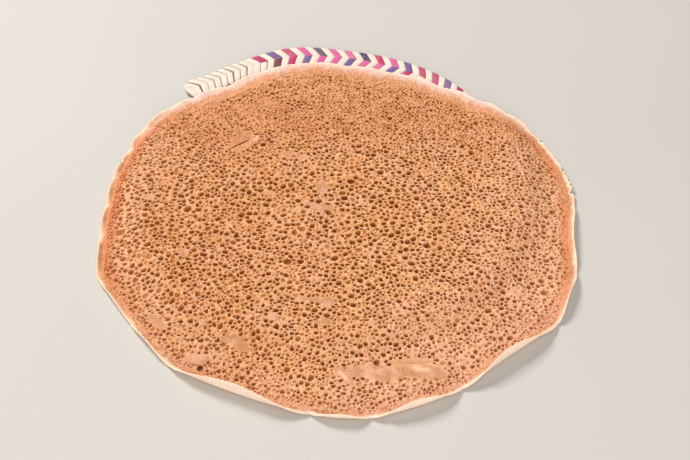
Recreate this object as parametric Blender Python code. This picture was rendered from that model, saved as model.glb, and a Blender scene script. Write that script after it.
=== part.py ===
"""A round injera flatbread lying over its plaited straw plate.

Metres, +Z up. The bread is one soft sheet: flat on the plate, let down over the plate's
edge onto the table, with a wavy edge that touches the table at its corners and curls up
between them. The plate is one plaited strip wound in a spiral and sewn to itself, whose
free end shows at the back left. The front of the bread, where it laps furthest past the
plate, faces -Y. The finished part is centred on its own box, with the table at Z = 0.
"""

import math

import bpy

MM = 0.001

# The bread's outline about its own centre, counter-clockwise from +X. Each row is a corner
# of the wavy edge and the span that follows it: the corner's angle in degrees and radius,
# how far the span's foot pulls in at its middle, and the lip's length and tilt there.
BREAD_CORNERS = [
    (2.5, 250.5, 1, 9, 40),
    (14, 252, 2.5, 9, 45),
    (27, 249.5, 1, 9, 35),
    (38, 239, 0, 8, 30),
    (46, 230.5, 0, 8, 28),
    (58, 225, 0, 7, 28),
    (76, 226, 0, 7, 28),
    (88, 230, 0, 7, 30),
    (98, 238, 0, 7, 28),
    (112, 238.5, 1, 8, 30),
    (124, 233, 0, 8, 28),
    (134, 242, 0, 8, 25),
    (141, 247, 1, 9, 40),
    (152, 252.5, 1, 9, 45),
    (160, 249.5, 2, 10, 60),
    (169, 250, 1.5, 10, 65),
    (178, 247.5, 1, 10, 68),
    (188, 250.5, 2.5, 11, 75),
    (200.5, 260, 3, 10, 70),
    (216, 251.5, 2, 11, 75),
    (230, 255, 5.4, 20, 105),
    (264, 253, -1, 14, 90),
    (276.5, 257.5, 0.8, 17, 98),
    (297, 252, 8.5, 19, 103),
    (325, 260, 2, 14, 95),
    (341, 254, 9, 12, 70),
]
CORNER_LIP_LENGTH = 6 * MM
CORNER_LIP_TILT = math.radians(12)
LIP_BEND_RADIUS = 6.5 * MM
STATION_STEP = math.radians(3.9)  # the widest step between sections round the edge
RING_SHARES = (0.2, 0.4, 0.6, 0.8)  # rings over the plate, as shares of the way to its edge
RING_OFFSETS = (-8 * MM, 4 * MM, 14 * MM, 24 * MM, 36 * MM)  # rings down the drop
LAST_RING_TO_FOOT = 12 * MM  # kept between the last of those rings and the lip's foot

THICKNESS_MIDDLE = 5.0 * MM
THICKNESS_FOOT = 3.0 * MM  # where the lip starts
THICKNESS_EDGE = 1.3 * MM
SWELL_HEIGHT = 0.6 * MM  # the low waves that the poured batter leaves in the surface
SWELL_WAVE = 23 * MM  # their length from the middle outwards, in radians of the wave
SWELL_TWIST = 90 * MM  # and how slowly they wind round, like the pour
DROP_START = 4 * MM  # past the plate's edge, where the bread begins to come down
DROP_LENGTH = 32 * MM  # over which it reaches the table

# The plate's spiral, seen from above: it grows counter-clockwise out to the free end.
PLATE_CENTRE = (-18.3 * MM, 42.7 * MM)  # from the bread's centre
PLATE_RADIUS = 222.8 * MM  # of the outer edge, at the free end
PLATE_END_ANGLE = math.radians(138)
PLATE_PITCH = 30 * MM  # how much each turn adds, a strip's width less its sewn overlap
PLATE_TURNS = 7
END_STEPS = (0.7, 0.9, 1.3, 1.9, 2.4, 3.0, 3.8, 4.8)  # degrees between sections at the end
EVEN_SECTIONS = 47  # round the rest of each turn
STRIP_THICKNESS = 4.6 * MM
GROOVE_DEPTH = 1.0 * MM  # between two turns, on both faces
GROOVE_HALF_WIDTH = 2.5 * MM
RIM_LIFT = 2.0 * MM  # how far the last turn's outer edge stands off the table
RIM_RISE_ANGLE = math.radians(70)  # of the last turn, over which that lift comes in
END_CORNER_RADIUS = 8 * MM  # the free end's rounded outer corner
EDGE_DRAWN_IN = 1.5 * MM  # the outer edge against the true spiral, between its swells
# Where the hand-wound strip stands out: degrees back from the free end, height, reach.
EDGE_SWELLS = [(3.5, 6 * MM, 3.0), (38, 7.5 * MM, 12.0), (90, 5 * MM, 22.0)]
BRIDGE_FROM = math.radians(2.5)  # past the free end, where the bread still spans the step
BRIDGE_TO = math.radians(18.5)

EDGE_TOLERANCE = 0.001 * MM  # in finding the plate's edge along a ray
GAP = 0.6 * MM  # between the bread and the plate, so that their facets stay clear


def smooth(t):
    """0 to 1 with flat ends."""
    t = min(max(t, 0.0), 1.0)
    return t * t * (3 - 2 * t)


def lerp(a, b, t):
    return a + (b - a) * t


# ---------------------------------------------------------------- the plate's measures


def edge_trim(back):
    """How far the strip's outer edge draws in, an angle back from the free end."""
    into_corner = max(0.0, END_CORNER_RADIUS - back * PLATE_RADIUS)
    trim = END_CORNER_RADIUS - math.sqrt(END_CORNER_RADIUS ** 2 - into_corner ** 2)
    for degrees, height, reach in EDGE_SWELLS:
        trim -= height * math.exp(-(((math.degrees(back) - degrees) / reach) ** 2))
    return trim + EDGE_DRAWN_IN * smooth((2 * math.pi - back) / RIM_RISE_ANGLE)


def plate_outline(angle):
    """The plate's outer radius in a direction from its centre."""
    back = (PLATE_END_ANGLE - angle) % (2 * math.pi)
    return PLATE_RADIUS - PLATE_PITCH * back / (2 * math.pi) - edge_trim(back)


def beyond_plate(x, y):
    """How far a point lies past the plate's edge, with the free end's step eased."""
    dx = x - PLATE_CENTRE[0]
    dy = y - PLATE_CENTRE[1]
    angle = math.atan2(dy, dx)
    past_end = (angle - PLATE_END_ANGLE) % (2 * math.pi)
    spanned = 0.0
    if past_end < BRIDGE_TO:
        spanned = 1 - smooth((past_end - BRIDGE_FROM) / (BRIDGE_TO - BRIDGE_FROM))
    return math.hypot(dx, dy) - plate_outline(angle) - PLATE_PITCH * spanned


def rim_lift(inside, back):
    """The strip's lift at a distance inside the outline, back along the last turn."""
    along = smooth((2 * math.pi - back) / RIM_RISE_ANGLE)
    return RIM_LIFT * along * smooth(1 - inside / PLATE_PITCH)


def plate_top(x, y):
    """The height of the plate's upper face, carried on flat past its edge."""
    dx = x - PLATE_CENTRE[0]
    dy = y - PLATE_CENTRE[1]
    back = (PLATE_END_ANGLE - math.atan2(dy, dx)) % (2 * math.pi)
    if back > 2 * math.pi - BRIDGE_TO:
        back = 0.0
    return STRIP_THICKNESS + rim_lift(max(0.0, -beyond_plate(x, y)), back)


# ---------------------------------------------------------------- the bread


def bread_span(angle):
    """The foot's radius, and the lip's length and tilt, in a direction from the centre."""
    corners = BREAD_CORNERS
    degrees = math.degrees(angle) % 360
    for index, corner in enumerate(corners):
        following = corners[(index + 1) % len(corners)]
        width = (following[0] - corner[0]) % 360
        t = ((degrees - corner[0]) % 360) / width
        if t <= 1.0:
            break
    wave = math.sin(math.pi * t)
    foot = lerp(corner[1], following[1], t) * MM - CORNER_LIP_LENGTH - corner[2] * MM * wave
    length = lerp(CORNER_LIP_LENGTH, corner[3] * MM, wave)
    tilt = lerp(CORNER_LIP_TILT, math.radians(corner[4]), wave)
    return foot, length, tilt


def bread_under(x, y):
    """The height of the bread's underside: on the plate, down the drop, on the table."""
    held = 1 - smooth((beyond_plate(x, y) - DROP_START) / DROP_LENGTH)
    return (plate_top(x, y) + GAP) * held


def bread_thickness(radius, foot, angle):
    """The sheet thins a little towards its foot and has low waves in its surface."""
    share = min(radius / foot, 1.0)
    thickness = lerp(THICKNESS_MIDDLE, THICKNESS_FOOT, share ** 4)
    rings = math.sin(radius / SWELL_WAVE) * math.sin(2 * angle + radius / SWELL_TWIST)
    return thickness + SWELL_HEIGHT * rings * share * (1 - share ** 6)


def plate_edge_along(angle, limit):
    """The distance from the bread's centre to the plate's edge, up to a limit."""
    low = 0.0
    high = limit
    if beyond_plate(high * math.cos(angle), high * math.sin(angle)) < 0:
        return limit
    while high - low > EDGE_TOLERANCE:
        middle = (low + high) / 2
        if beyond_plate(middle * math.cos(angle), middle * math.sin(angle)) < 0:
            low = middle
        else:
            high = middle
    return low


def bread_stations():
    """Directions round the edge: every corner, and even steps between them."""
    stations = []
    for index, corner in enumerate(BREAD_CORNERS):
        following = BREAD_CORNERS[(index + 1) % len(BREAD_CORNERS)]
        width = math.radians((following[0] - corner[0]) % 360)
        count = max(2, math.ceil(width / STATION_STEP))
        for step in range(count):
            stations.append(math.radians(corner[0]) + width * step / count)
    return stations


def bread_section(angle):
    """The underside and upper-side points of one section, from near the centre outwards,
    each as (distance from the centre, height)."""
    foot, length, tilt = bread_span(angle)
    edge = plate_edge_along(angle, foot - RING_OFFSETS[-1] - LAST_RING_TO_FOOT)
    radii = [edge * share for share in RING_SHARES]
    radii += [edge + offset for offset in RING_OFFSETS]
    radii.append(foot)
    under = []
    upper = []
    for radius in radii:
        x = radius * math.cos(angle)
        y = radius * math.sin(angle)
        height = bread_under(x, y)
        under.append((radius, height))
        upper.append((radius, height + bread_thickness(radius, foot, angle)))
    base = under[-1][1]
    bend = min(tilt, length / LIP_BEND_RADIUS)
    flank = length - bend * LIP_BEND_RADIUS
    steps = [(0.5 * bend, 0.0), (bend, 0.0), (bend, flank)]
    for turn, straight in steps:
        along = (turn * LIP_BEND_RADIUS + straight) / length
        thickness = lerp(THICKNESS_FOOT, THICKNESS_EDGE, along)
        out = foot + LIP_BEND_RADIUS * math.sin(turn) + straight * math.cos(turn)
        up = base + LIP_BEND_RADIUS * (1 - math.cos(turn)) + straight * math.sin(turn)
        under.append((out, up))
        upper.append((out - thickness * math.sin(turn), up + thickness * math.cos(turn)))
    return under, upper


def bread_mesh():
    """The closed sheet: two fans of rings joined by a band round the edge."""
    verts = []
    faces = []
    sections = [bread_section(angle) for angle in bread_stations()]
    directions = [(math.cos(angle), math.sin(angle)) for angle in bread_stations()]
    rings = len(sections[0][0])
    count = len(sections)
    for side in (0, 1):
        middle = bread_under(0.0, 0.0) + (THICKNESS_MIDDLE if side else 0.0)
        verts.append((0.0, 0.0, middle))
        for section, (cos, sin) in zip(sections, directions):
            verts += [(out * cos, out * sin, up) for out, up in section[side]]
    block = 1 + count * rings

    def corner(side, station, ring):
        return side * block + 1 + (station % count) * rings + ring

    for station in range(count):
        faces.append((0, corner(0, station + 1, 0), corner(0, station, 0)))
        faces.append((block, corner(1, station, 0), corner(1, station + 1, 0)))
        for ring in range(rings - 1):
            quad = [
                (station, ring),
                (station, ring + 1),
                (station + 1, ring + 1),
                (station + 1, ring),
            ]
            faces.append(tuple(corner(1, *place) for place in quad))
            faces.append(tuple(corner(0, *place) for place in reversed(quad)))
        last = rings - 1
        faces.append(
            (
                corner(0, station, last),
                corner(0, station + 1, last),
                corner(1, station + 1, last),
                corner(1, station, last),
            )
        )
    return verts, faces


# ---------------------------------------------------------------- the plate


def plate_angles():
    """How far back from the free end each section of one turn lies, nearest first."""
    backs = [0.0]
    for step in END_STEPS:
        backs.append(backs[-1] + math.radians(step))
    even = (2 * math.pi - backs[-1]) / EVEN_SECTIONS
    while len(backs) < len(END_STEPS) + EVEN_SECTIONS:
        backs.append(backs[-1] + even)
    return backs


def plate_rows(back):
    """One section across the strip, an angle back from the free end: its rows from the
    inner groove to the outer one, as (radius, depth below the face, lift)."""
    outer = PLATE_RADIUS - PLATE_PITCH * back / (2 * math.pi)
    inner = max(outer - PLATE_PITCH, 0.0)
    rows = [(inner, GROOVE_DEPTH), (inner + GROOVE_HALF_WIDTH, 0.0)]
    rows += [(outer - GROOVE_HALF_WIDTH, 0.0), (outer, GROOVE_DEPTH)]
    if back > 2 * math.pi:
        return [(radius, depth, 0.0) for radius, depth in rows]
    trim = [0.0, 0.0, edge_trim(back), edge_trim(back)]
    return [
        (radius - less, depth, rim_lift(outer - radius, back))
        for (radius, depth), less in zip(rows, trim)
    ]


def plate_mesh():
    """The wound strip as one solid: a spiral sheet above, its mirror below, and a wall
    along the outer edge and across the free end."""
    turn = [2 * math.pi - back for back in reversed(plate_angles())]
    turned = [2 * math.pi * lap + angle for lap in range(PLATE_TURNS) for angle in turn]
    turned.insert(0, 0.0)
    per_turn = len(turn)
    stations = len(turned)
    rows = len(plate_rows(0.0))
    last_start = stations - 1 - per_turn
    verts = []
    index = {}

    def add(radius, angle, depth, lift):
        x = PLATE_CENTRE[0] + radius * math.cos(angle)
        y = PLATE_CENTRE[1] + radius * math.sin(angle)
        verts.append((x, y, lift + STRIP_THICKNESS - depth))
        verts.append((x, y, lift + depth))
        return len(verts) - 2

    centre = add(0.0, 0.0, GROOVE_DEPTH, 0.0)
    for station in range(stations):
        inner = station - per_turn
        index[station, 0] = index[inner, rows - 1] if inner >= 0 else centre
        section = plate_rows(turned[-1] - turned[station])
        for row, (radius, depth, lift) in enumerate(section[1:], start=1):
            index[station, row] = add(radius, PLATE_END_ANGLE + turned[station], depth, lift)
    faces = []

    def both_sides(loop):
        faces.append(tuple(loop))
        faces.append(tuple(vertex + 1 for vertex in reversed(loop)))

    for station in range(stations - 1):
        for row in range(rows - 1):
            loop = [
                index[station, row],
                index[station, row + 1],
                index[station + 1, row + 1],
                index[station + 1, row],
            ]
            if row == 0 and station < per_turn - 1:
                loop.pop()
            if row == 0 and station == per_turn - 1:
                loop += [index[0, 2], index[0, 1]]
            both_sides(loop)
    wall = [index[station, rows - 1] for station in range(last_start, stations)]
    wall += [index[stations - 1, row] for row in range(rows - 2, 0, -1)]
    for here, there in zip(wall, wall[1:] + wall[:1]):
        faces.append((here + 1, there + 1, there, here))
    return verts, faces


# ---------------------------------------------------------------- objects


def make_material(name, colour, roughness):
    material = bpy.data.materials.new(name)
    material.use_nodes = True
    shader = material.node_tree.nodes["Principled BSDF"]
    shader.inputs["Base Color"].default_value = (*colour, 1.0)
    shader.inputs["Roughness"].default_value = roughness
    shader.inputs["Metallic"].default_value = 0.0
    return material


def make_object(name, mesh_data, material):
    verts, faces = mesh_data
    mesh = bpy.data.meshes.new(name)
    mesh.from_pydata(verts, [], faces)
    mesh.materials.append(material)
    mesh.shade_smooth()
    mesh.set_sharp_from_angle(angle=math.radians(50))
    made = bpy.data.objects.new(name, mesh)
    bpy.context.scene.collection.objects.link(made)
    return made


def centre_on_base(objects):
    """Puts the whole part's box centre over the origin and its lowest point at Z = 0."""
    points = [vertex.co for made in objects for vertex in made.data.vertices]
    low = [min(point[axis] for point in points) for axis in range(3)]
    high = [max(point[axis] for point in points) for axis in range(3)]
    shift = (-(low[0] + high[0]) / 2, -(low[1] + high[1]) / 2, -low[2])
    for made in objects:
        made.location = shift
    return shift


def build():
    for old in list(bpy.data.objects):
        bpy.data.objects.remove(old)
    crumb = make_material("injera_crumb", (0.63, 0.30, 0.14), 0.75)
    straw = make_material("plaited_straw", (0.80, 0.70, 0.53), 0.65)
    bread = make_object("injera", bread_mesh(), crumb)
    plate = make_object("straw_plate", plate_mesh(), straw)
    shift = centre_on_base([bread, plate])
    print("moved by", [round(value / MM, 2) for value in shift], "mm")
    for made in (bread, plate):
        made.data.calc_loop_triangles()
        print(made.name, len(made.data.loop_triangles), "triangles")


build()
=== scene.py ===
# %% [markdown]
# # A round injera on its straw plate
#
# Injera is a soft sour flatbread, poured as a thin batter onto a hot griddle in a spiral.
# Bubbles rise through it and burst as it sets, so its upper side is full of small open
# "eyes", while the side that lay on the griddle stays smooth and pale. It is served lying
# over a flat plate of plaited straw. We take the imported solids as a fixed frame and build
# the looks around them: first the stage, then the bread, then the plate.

# %% The frame
import math

import bmesh
import bpy
import mathutils
import numpy as np
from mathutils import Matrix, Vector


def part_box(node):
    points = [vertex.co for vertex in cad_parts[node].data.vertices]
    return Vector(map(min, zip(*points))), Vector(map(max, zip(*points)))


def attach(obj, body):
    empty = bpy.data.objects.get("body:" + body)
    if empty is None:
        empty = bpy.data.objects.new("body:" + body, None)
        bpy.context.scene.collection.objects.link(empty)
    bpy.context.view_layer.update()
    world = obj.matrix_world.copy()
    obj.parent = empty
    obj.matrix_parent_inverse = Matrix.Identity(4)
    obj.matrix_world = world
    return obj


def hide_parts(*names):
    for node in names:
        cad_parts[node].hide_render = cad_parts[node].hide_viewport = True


MM = 0.001
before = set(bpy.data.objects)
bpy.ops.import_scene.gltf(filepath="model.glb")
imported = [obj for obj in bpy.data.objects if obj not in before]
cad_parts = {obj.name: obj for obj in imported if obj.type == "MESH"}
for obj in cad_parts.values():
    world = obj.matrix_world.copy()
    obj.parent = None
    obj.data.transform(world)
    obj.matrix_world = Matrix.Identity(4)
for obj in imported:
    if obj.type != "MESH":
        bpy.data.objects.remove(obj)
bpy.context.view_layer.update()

# %% [markdown]
# ## The stage
#
# The bread lies on a table and is seen from the front at about 48 degrees, with a normal
# to slightly long lens. We could place the camera by hand, but three numbers say it all:
# where it aims, how far away it is and how steeply it looks down. The floor is plain and
# pale, and only catches the soft shadow.

# %% The camera
LENS = 60.0  # mm, on the usual 36 mm wide sensor
CAMERA_DISTANCE = 1.197
CAMERA_ELEVATION = math.radians(48.25)
CAMERA_AIM = mathutils.Vector((0.005, -0.0286, 0.0))


def aim_at(thing, target):
    """Turns a camera or a lamp so that it looks at a point."""
    thing.rotation_euler = (target - thing.location).to_track_quat("-Z", "Y").to_euler()


back_off = mathutils.Vector((0, -math.cos(CAMERA_ELEVATION), math.sin(CAMERA_ELEVATION)))
camera = bpy.data.objects.new("camera", bpy.data.cameras.new("camera"))
camera.data.lens = LENS
camera.location = CAMERA_AIM + CAMERA_DISTANCE * back_off
aim_at(camera, CAMERA_AIM)
bpy.context.scene.collection.objects.link(camera)
bpy.context.scene.camera = camera
print("camera at", [round(v, 3) for v in camera.location])

# %% The floor
FLOOR_HALF = 6.0  # far enough that its edge stays out of sight from most sides
floor_mesh = bpy.data.meshes.new("floor")
floor_corners = [(-1, -1), (1, -1), (1, 1), (-1, 1)]
floor_mesh.from_pydata(
    [(x * FLOOR_HALF, y * FLOOR_HALF, 0) for x, y in floor_corners], [], [(0, 1, 2, 3)]
)
floor = bpy.data.objects.new("floor", floor_mesh)
bpy.context.scene.collection.objects.link(floor)
print("floor", 2 * FLOOR_HALF, "m wide")

# %% [markdown]
# The light is soft daylight that comes from the back left. It grazes the eyes, so their far
# walls fall into shade and their near rims light up. Two broad weak lamps, one above and one
# low before the front, keep the shadows open, and the pale surroundings do the rest.

# %% Lamps and surroundings
LAMPS = {  # where each stands, how wide it is, its watts and its tint
    "window": ((-2.64, 3.44, 3.28), 1.76, 306.0, (1.0, 0.97, 0.93)),
    "ceiling": ((0.25, -0.60, 2.20), 1.4, 9.0, (1.0, 0.98, 0.96)),
    "front": ((0.20, -2.30, 0.80), 1.7, 33.0, (1.0, 0.98, 0.95)),
}
SURROUNDINGS = (1.0, 0.97, 0.94, 1.0)
SURROUNDINGS_STRENGTH = 0.31


def add_lamp(name, place, width, watts, tint):
    """A square area lamp that faces the middle of the bread."""
    lamp = bpy.data.lights.new(name, "AREA")
    lamp.size = width
    lamp.energy = watts
    lamp.color = tint
    made = bpy.data.objects.new(name, lamp)
    made.location = place
    aim_at(made, CAMERA_AIM)
    bpy.context.scene.collection.objects.link(made)


for lamp_name, lamp_facts in LAMPS.items():
    add_lamp(lamp_name, *lamp_facts)

world = bpy.data.worlds.new("surroundings")
world.use_nodes = True
background = world.node_tree.nodes["Background"]
background.inputs["Color"].default_value = SURROUNDINGS
background.inputs["Strength"].default_value = SURROUNDINGS_STRENGTH
bpy.context.scene.world = world
bpy.context.scene.view_settings.view_transform = "Standard"
print("lamps:", list(LAMPS))

# %% [markdown]
# ## Shader maths as plain Python
#
# A finish is a formula: how brown a spot is depends on how deep it lies, how near the edge
# it is, and some noise. Wiring Math nodes by hand hides that formula, so we wrap a socket
# in a small class. Adding or multiplying two wrapped sockets then adds the node for it.

# %% Wrapped sockets


class Wire:
    """A node's socket that takes part in Python sums."""

    def __init__(self, nodes, socket):
        self.nodes = nodes
        self.socket = socket

    def maths(self, operation, *others):
        """A Math node on this socket and the others."""
        values = dict(enumerate((self,) + others))
        return self.nodes.add("ShaderNodeMath", {"operation": operation}, values)

    def __add__(self, other):
        return self.maths("ADD", other)

    def __sub__(self, other):
        return self.maths("SUBTRACT", other)

    def __rsub__(self, other):
        return self.nodes.add("ShaderNodeMath", {"operation": "SUBTRACT"}, {0: other, 1: self})

    def __mul__(self, other):
        return self.maths("MULTIPLY", other)

    def __truediv__(self, other):
        return self.maths("DIVIDE", other)

    def __pow__(self, other):
        return self.maths("POWER", other)

    __radd__ = __add__
    __rmul__ = __mul__


print("a wrapped socket takes + - * / and **")

# %% A tree that grows by calls


class Nodes:
    """A node tree that grows by one call for each node."""

    def __init__(self, tree):
        self.tree = tree

    def put(self, target, value):
        """Links a wrapped socket to a socket, or sets a plain value on it."""
        if isinstance(value, Wire):
            self.tree.links.new(value.socket, target)
        else:
            target.default_value = value

    def add(self, kind, settings=None, values=None, output=0):
        """Adds one node: its settings first, then the values or links of its sockets."""
        node = self.tree.nodes.new(kind)
        for key, value in (settings or {}).items():
            setattr(node, key, value)
        for key, value in (values or {}).items():
            self.put(node.inputs[key], value)
        return Wire(self, node.outputs[output])


print("a tree adds a node for each call")

# %% A finish
MIX_FIRST, MIX_SECOND, MIX_RESULT = 6, 7, 2  # a Mix node's colour sockets, by their order
DARK_END = 0.04045  # below it a screen's colours are a straight line


class Finish(Nodes):
    """A material."""

    def __init__(self, name):
        self.material = bpy.data.materials.new(name)
        self.material.use_nodes = True
        super().__init__(self.material.node_tree)
        self.shader = self.tree.nodes["Principled BSDF"]

    def measure(self, name, output="Fac"):
        """A number, colour or vector that the mesh carries in each of its points."""
        return self.add("ShaderNodeAttribute", {"attribute_name": name}, output=output)

    def place(self):
        """Where a point lies on the piece, in metres."""
        return self.add("ShaderNodeTexCoord", output="Object")

    def noise(self, size, detail=2.0, at=None):
        """Noise whose blotches are about a size across."""
        values = {"Vector": at or self.place(), "Scale": 1 / size, "Detail": detail}
        return self.add("ShaderNodeTexNoise", None, values)

    def ramp(self, value, low, high):
        """0 below low, 1 above high, and smooth between."""
        values = {"Value": value, "From Min": low, "From Max": high}
        return self.add("ShaderNodeMapRange", {"interpolation_type": "SMOOTHSTEP"}, values)

    def mix(self, share, first, second):
        """A blend of two colours, or wrapped colours."""
        values = {"Factor": share, MIX_FIRST: first, MIX_SECOND: second}
        return self.add("ShaderNodeMix", {"data_type": "RGBA"}, values, MIX_RESULT)

    def layers(self, base, *over):
        """Lays tones over a base, one after the other, each with its own share."""
        for share, tone in over:
            base = self.mix(share, base, tone)
        return base

    def bump(self, height, distance, strength=1.0, under=None):
        """A bump of a real height in metres, on top of another one if given."""
        values = {"Height": height, "Distance": distance, "Strength": strength}
        if under:
            values["Normal"] = under
        return self.add("ShaderNodeBump", None, values)

    def set(self, name, value):
        """Gives one of the shader's own sockets a value or a link."""
        self.put(self.shader.inputs[name], value)


def colour(red, green, blue):
    """A colour as a screen shows it, 0 to 255, made linear for the shader."""
    parts = [part / 255 for part in (red, green, blue)]
    linear = [p / 12.92 if p <= DARK_END else ((p + 0.055) / 1.055) ** 2.4 for p in parts]
    return (*linear, 1.0)


print("a mid crumb tone is", [round(part, 3) for part in colour(212, 147, 100)[:3]])

# %% The floor's paint
FLOOR_TONES = (colour(200, 196, 190), colour(206, 202, 196))
floor_paint = Finish("floor_paint")
floor_paint.set("Base Color", floor_paint.mix(floor_paint.noise(0.4), *FLOOR_TONES))
floor_paint.set("Roughness", 0.7)
floor_mesh.materials.append(floor_paint.material)
print("floor painted")

# %% [markdown]
# ## The bread's outline and drape
#
# A soft sheet folds where it must: its rim touches the table at corners and curls up
# between them. We could draw that rim as a free curve, but the solid was made from a short
# table of corners, so the same table gives an edge that fits it exactly. The same goes for
# the height: flat over the plate, an easy drop at the plate's edge, then the table.

# %% The outline
# Each row is a corner of the wavy edge and the span that follows it: the corner's angle
# and radius, how far the span's foot pulls in, and its lip's length and tilt.
BREAD_CORNERS = np.array([
    (2.5, 250.5, 1, 9, 40), (14, 252, 2.5, 9, 45), (27, 249.5, 1, 9, 35),
    (38, 239, 0, 8, 30), (46, 230.5, 0, 8, 28), (58, 225, 0, 7, 28),
    (76, 226, 0, 7, 28), (88, 230, 0, 7, 30), (98, 238, 0, 7, 28),
    (112, 238.5, 1, 8, 30), (124, 233, 0, 8, 28), (134, 242, 0, 8, 25),
    (141, 247, 1, 9, 40), (152, 252.5, 1, 9, 45), (160, 249.5, 2, 10, 60),
    (169, 250, 1.5, 10, 65), (178, 247.5, 1, 10, 68), (188, 250.5, 2.5, 11, 75),
    (200.5, 260, 3, 10, 70), (216, 251.5, 2, 11, 75), (230, 255, 5.4, 20, 105),
    (264, 253, -1, 14, 90), (276.5, 257.5, 0.8, 17, 98), (297, 252, 8.5, 19, 103),
    (325, 260, 2, 14, 95), (341, 254, 9, 12, 70),
])
CORNER_LIP_LENGTH = 6 * MM
CORNER_LIP_TILT = math.radians(12)
LIP_BEND_RADIUS = 6.5 * MM
THICKNESS_MIDDLE = 5.0 * MM
THICKNESS_FOOT = 3.0 * MM
THICKNESS_EDGE = 1.3 * MM


def ease(t):
    """0 to 1 with flat ends."""
    t = np.clip(t, 0.0, 1.0)
    return t * t * (3 - 2 * t)


def lerp(a, b, t):
    """From a at 0 to b at 1."""
    return a + (b - a) * t


def bread_span(angle):
    """The foot's radius, and the lip's length and tilt, in directions from the centre."""
    degrees = np.degrees(angle) % 360
    row = (np.searchsorted(BREAD_CORNERS[:, 0], degrees, side="right") - 1) % len(BREAD_CORNERS)
    start, radius, sag, lip, tilt = BREAD_CORNERS[row].T
    following = BREAD_CORNERS[(row + 1) % len(BREAD_CORNERS)]
    t = ((degrees - start) % 360) / ((following[:, 0] - start) % 360)
    wave = np.sin(np.pi * t)
    foot = (lerp(radius, following[:, 1], t) - sag * wave) * MM - CORNER_LIP_LENGTH
    length = lerp(CORNER_LIP_LENGTH, lip * MM, wave)
    return foot, length, lerp(CORNER_LIP_TILT, np.radians(tilt), wave)


print(len(BREAD_CORNERS), "corners round the edge")

# %% Stations round the edge
STATION_SPACING = 2.5 * MM


def edge_stations():
    """Directions round the edge, a station's spacing apart and exact at the corners."""
    stations = []
    for row, corner in enumerate(BREAD_CORNERS):
        following = BREAD_CORNERS[(row + 1) % len(BREAD_CORNERS)]
        width = math.radians((following[0] - corner[0]) % 360)
        count = round(width * corner[1] * MM / STATION_SPACING)
        stations += [math.radians(corner[0]) + width * step / count for step in range(count)]
    return np.array(stations)


stations = edge_stations()
print(len(stations), "stations, feet at", [round(f / MM) for f in bread_span(stations)[0][:3]])

# %% [markdown]
# The edge's height above the plate needs the plate's own outline: a strip wound in a
# spiral, so each direction has its own radius, with a free end at the back left.

# %% The plate's measures
PLATE_CENTRE = (-18.3 * MM, 42.7 * MM)
PLATE_RADIUS = 222.8 * MM
PLATE_END_ANGLE = math.radians(138)
PLATE_PITCH = 30 * MM
STRIP_THICKNESS = 4.6 * MM
RIM_LIFT = 2.0 * MM
RIM_RISE_ANGLE = math.radians(70)
END_CORNER_RADIUS = 8 * MM
EDGE_DRAWN_IN = 1.5 * MM
# Where the edge swells: degrees back from the free end, how far, over how many degrees.
EDGE_SWELLS = [(3.5, 6 * MM, 3.0), (38, 7.5 * MM, 12.0), (90, 5 * MM, 22.0)]
# Past the free end the sheet bridges the step down to the next turn.
BRIDGE_FROM = math.radians(2.5)
BRIDGE_TO = math.radians(18.5)
print("the plate is", round(2 * PLATE_RADIUS / MM), "mm across at its free end")

# %% The plate's edge


def edge_trim(back):
    """How far the strip's outer edge draws in, an angle back from the free end."""
    into_corner = np.clip(END_CORNER_RADIUS - back * PLATE_RADIUS, 0.0, None)
    trim = END_CORNER_RADIUS - np.sqrt(END_CORNER_RADIUS**2 - into_corner**2)
    for degrees, height, reach in EDGE_SWELLS:
        trim = trim - height * np.exp(-(((np.degrees(back) - degrees) / reach) ** 2))
    return trim + EDGE_DRAWN_IN * ease((2 * math.pi - back) / RIM_RISE_ANGLE)


def beyond_plate(x, y):
    """How far a point lies past the plate's edge, and its angle back from the free end."""
    dx = x - PLATE_CENTRE[0]
    dy = y - PLATE_CENTRE[1]
    angle = np.arctan2(dy, dx)
    back = (PLATE_END_ANGLE - angle) % (2 * math.pi)
    past_end = (angle - PLATE_END_ANGLE) % (2 * math.pi)
    spanned = 1 - ease((past_end - BRIDGE_FROM) / (BRIDGE_TO - BRIDGE_FROM))
    outline = PLATE_RADIUS - PLATE_PITCH * back / (2 * math.pi) - edge_trim(back)
    beyond = np.hypot(dx, dy) - outline - PLATE_PITCH * spanned
    return beyond, np.where(past_end < BRIDGE_TO, 0.0, back)


def rim_lift(inside, back):
    """The strip's lift at a distance inside the outline, back along the last turn."""
    along = ease((2 * math.pi - back) / RIM_RISE_ANGLE)
    return RIM_LIFT * along * ease(1 - inside / PLATE_PITCH)


print("the rim lifts by", round(float(rim_lift(0.0, 0.0)) / MM, 1), "mm at the free end")

# %% The drape over it
DROP_START = 4 * MM
DROP_LENGTH = 32 * MM
GAP = 0.6 * MM  # between the sheet and the plate
SWELL_HEIGHT = 0.6 * MM
SWELL_WAVE = 23 * MM
SWELL_TWIST = 90 * MM


def bread_under(x, y):
    """The height of the bread's underside: on the plate, down the drop, on the table."""
    beyond, back = beyond_plate(x, y)
    top = STRIP_THICKNESS + rim_lift(np.clip(-beyond, 0.0, None), back)
    return (top + GAP) * (1 - ease((beyond - DROP_START) / DROP_LENGTH))


def bread_thickness(radius, foot, angle):
    """The sheet thins towards its foot and keeps low waves from the poured spiral."""
    share = np.clip(radius / foot, 0.0, 1.0)
    rings = np.sin(radius / SWELL_WAVE) * np.sin(2 * angle + radius / SWELL_TWIST)
    thickness = lerp(THICKNESS_MIDDLE, THICKNESS_FOOT, share**4)
    return thickness + SWELL_HEIGHT * rings * share * (1 - share**6)


print("underside over the plate:", round(float(bread_under(0.0, 0.0)) / MM, 2), "mm up")

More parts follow.
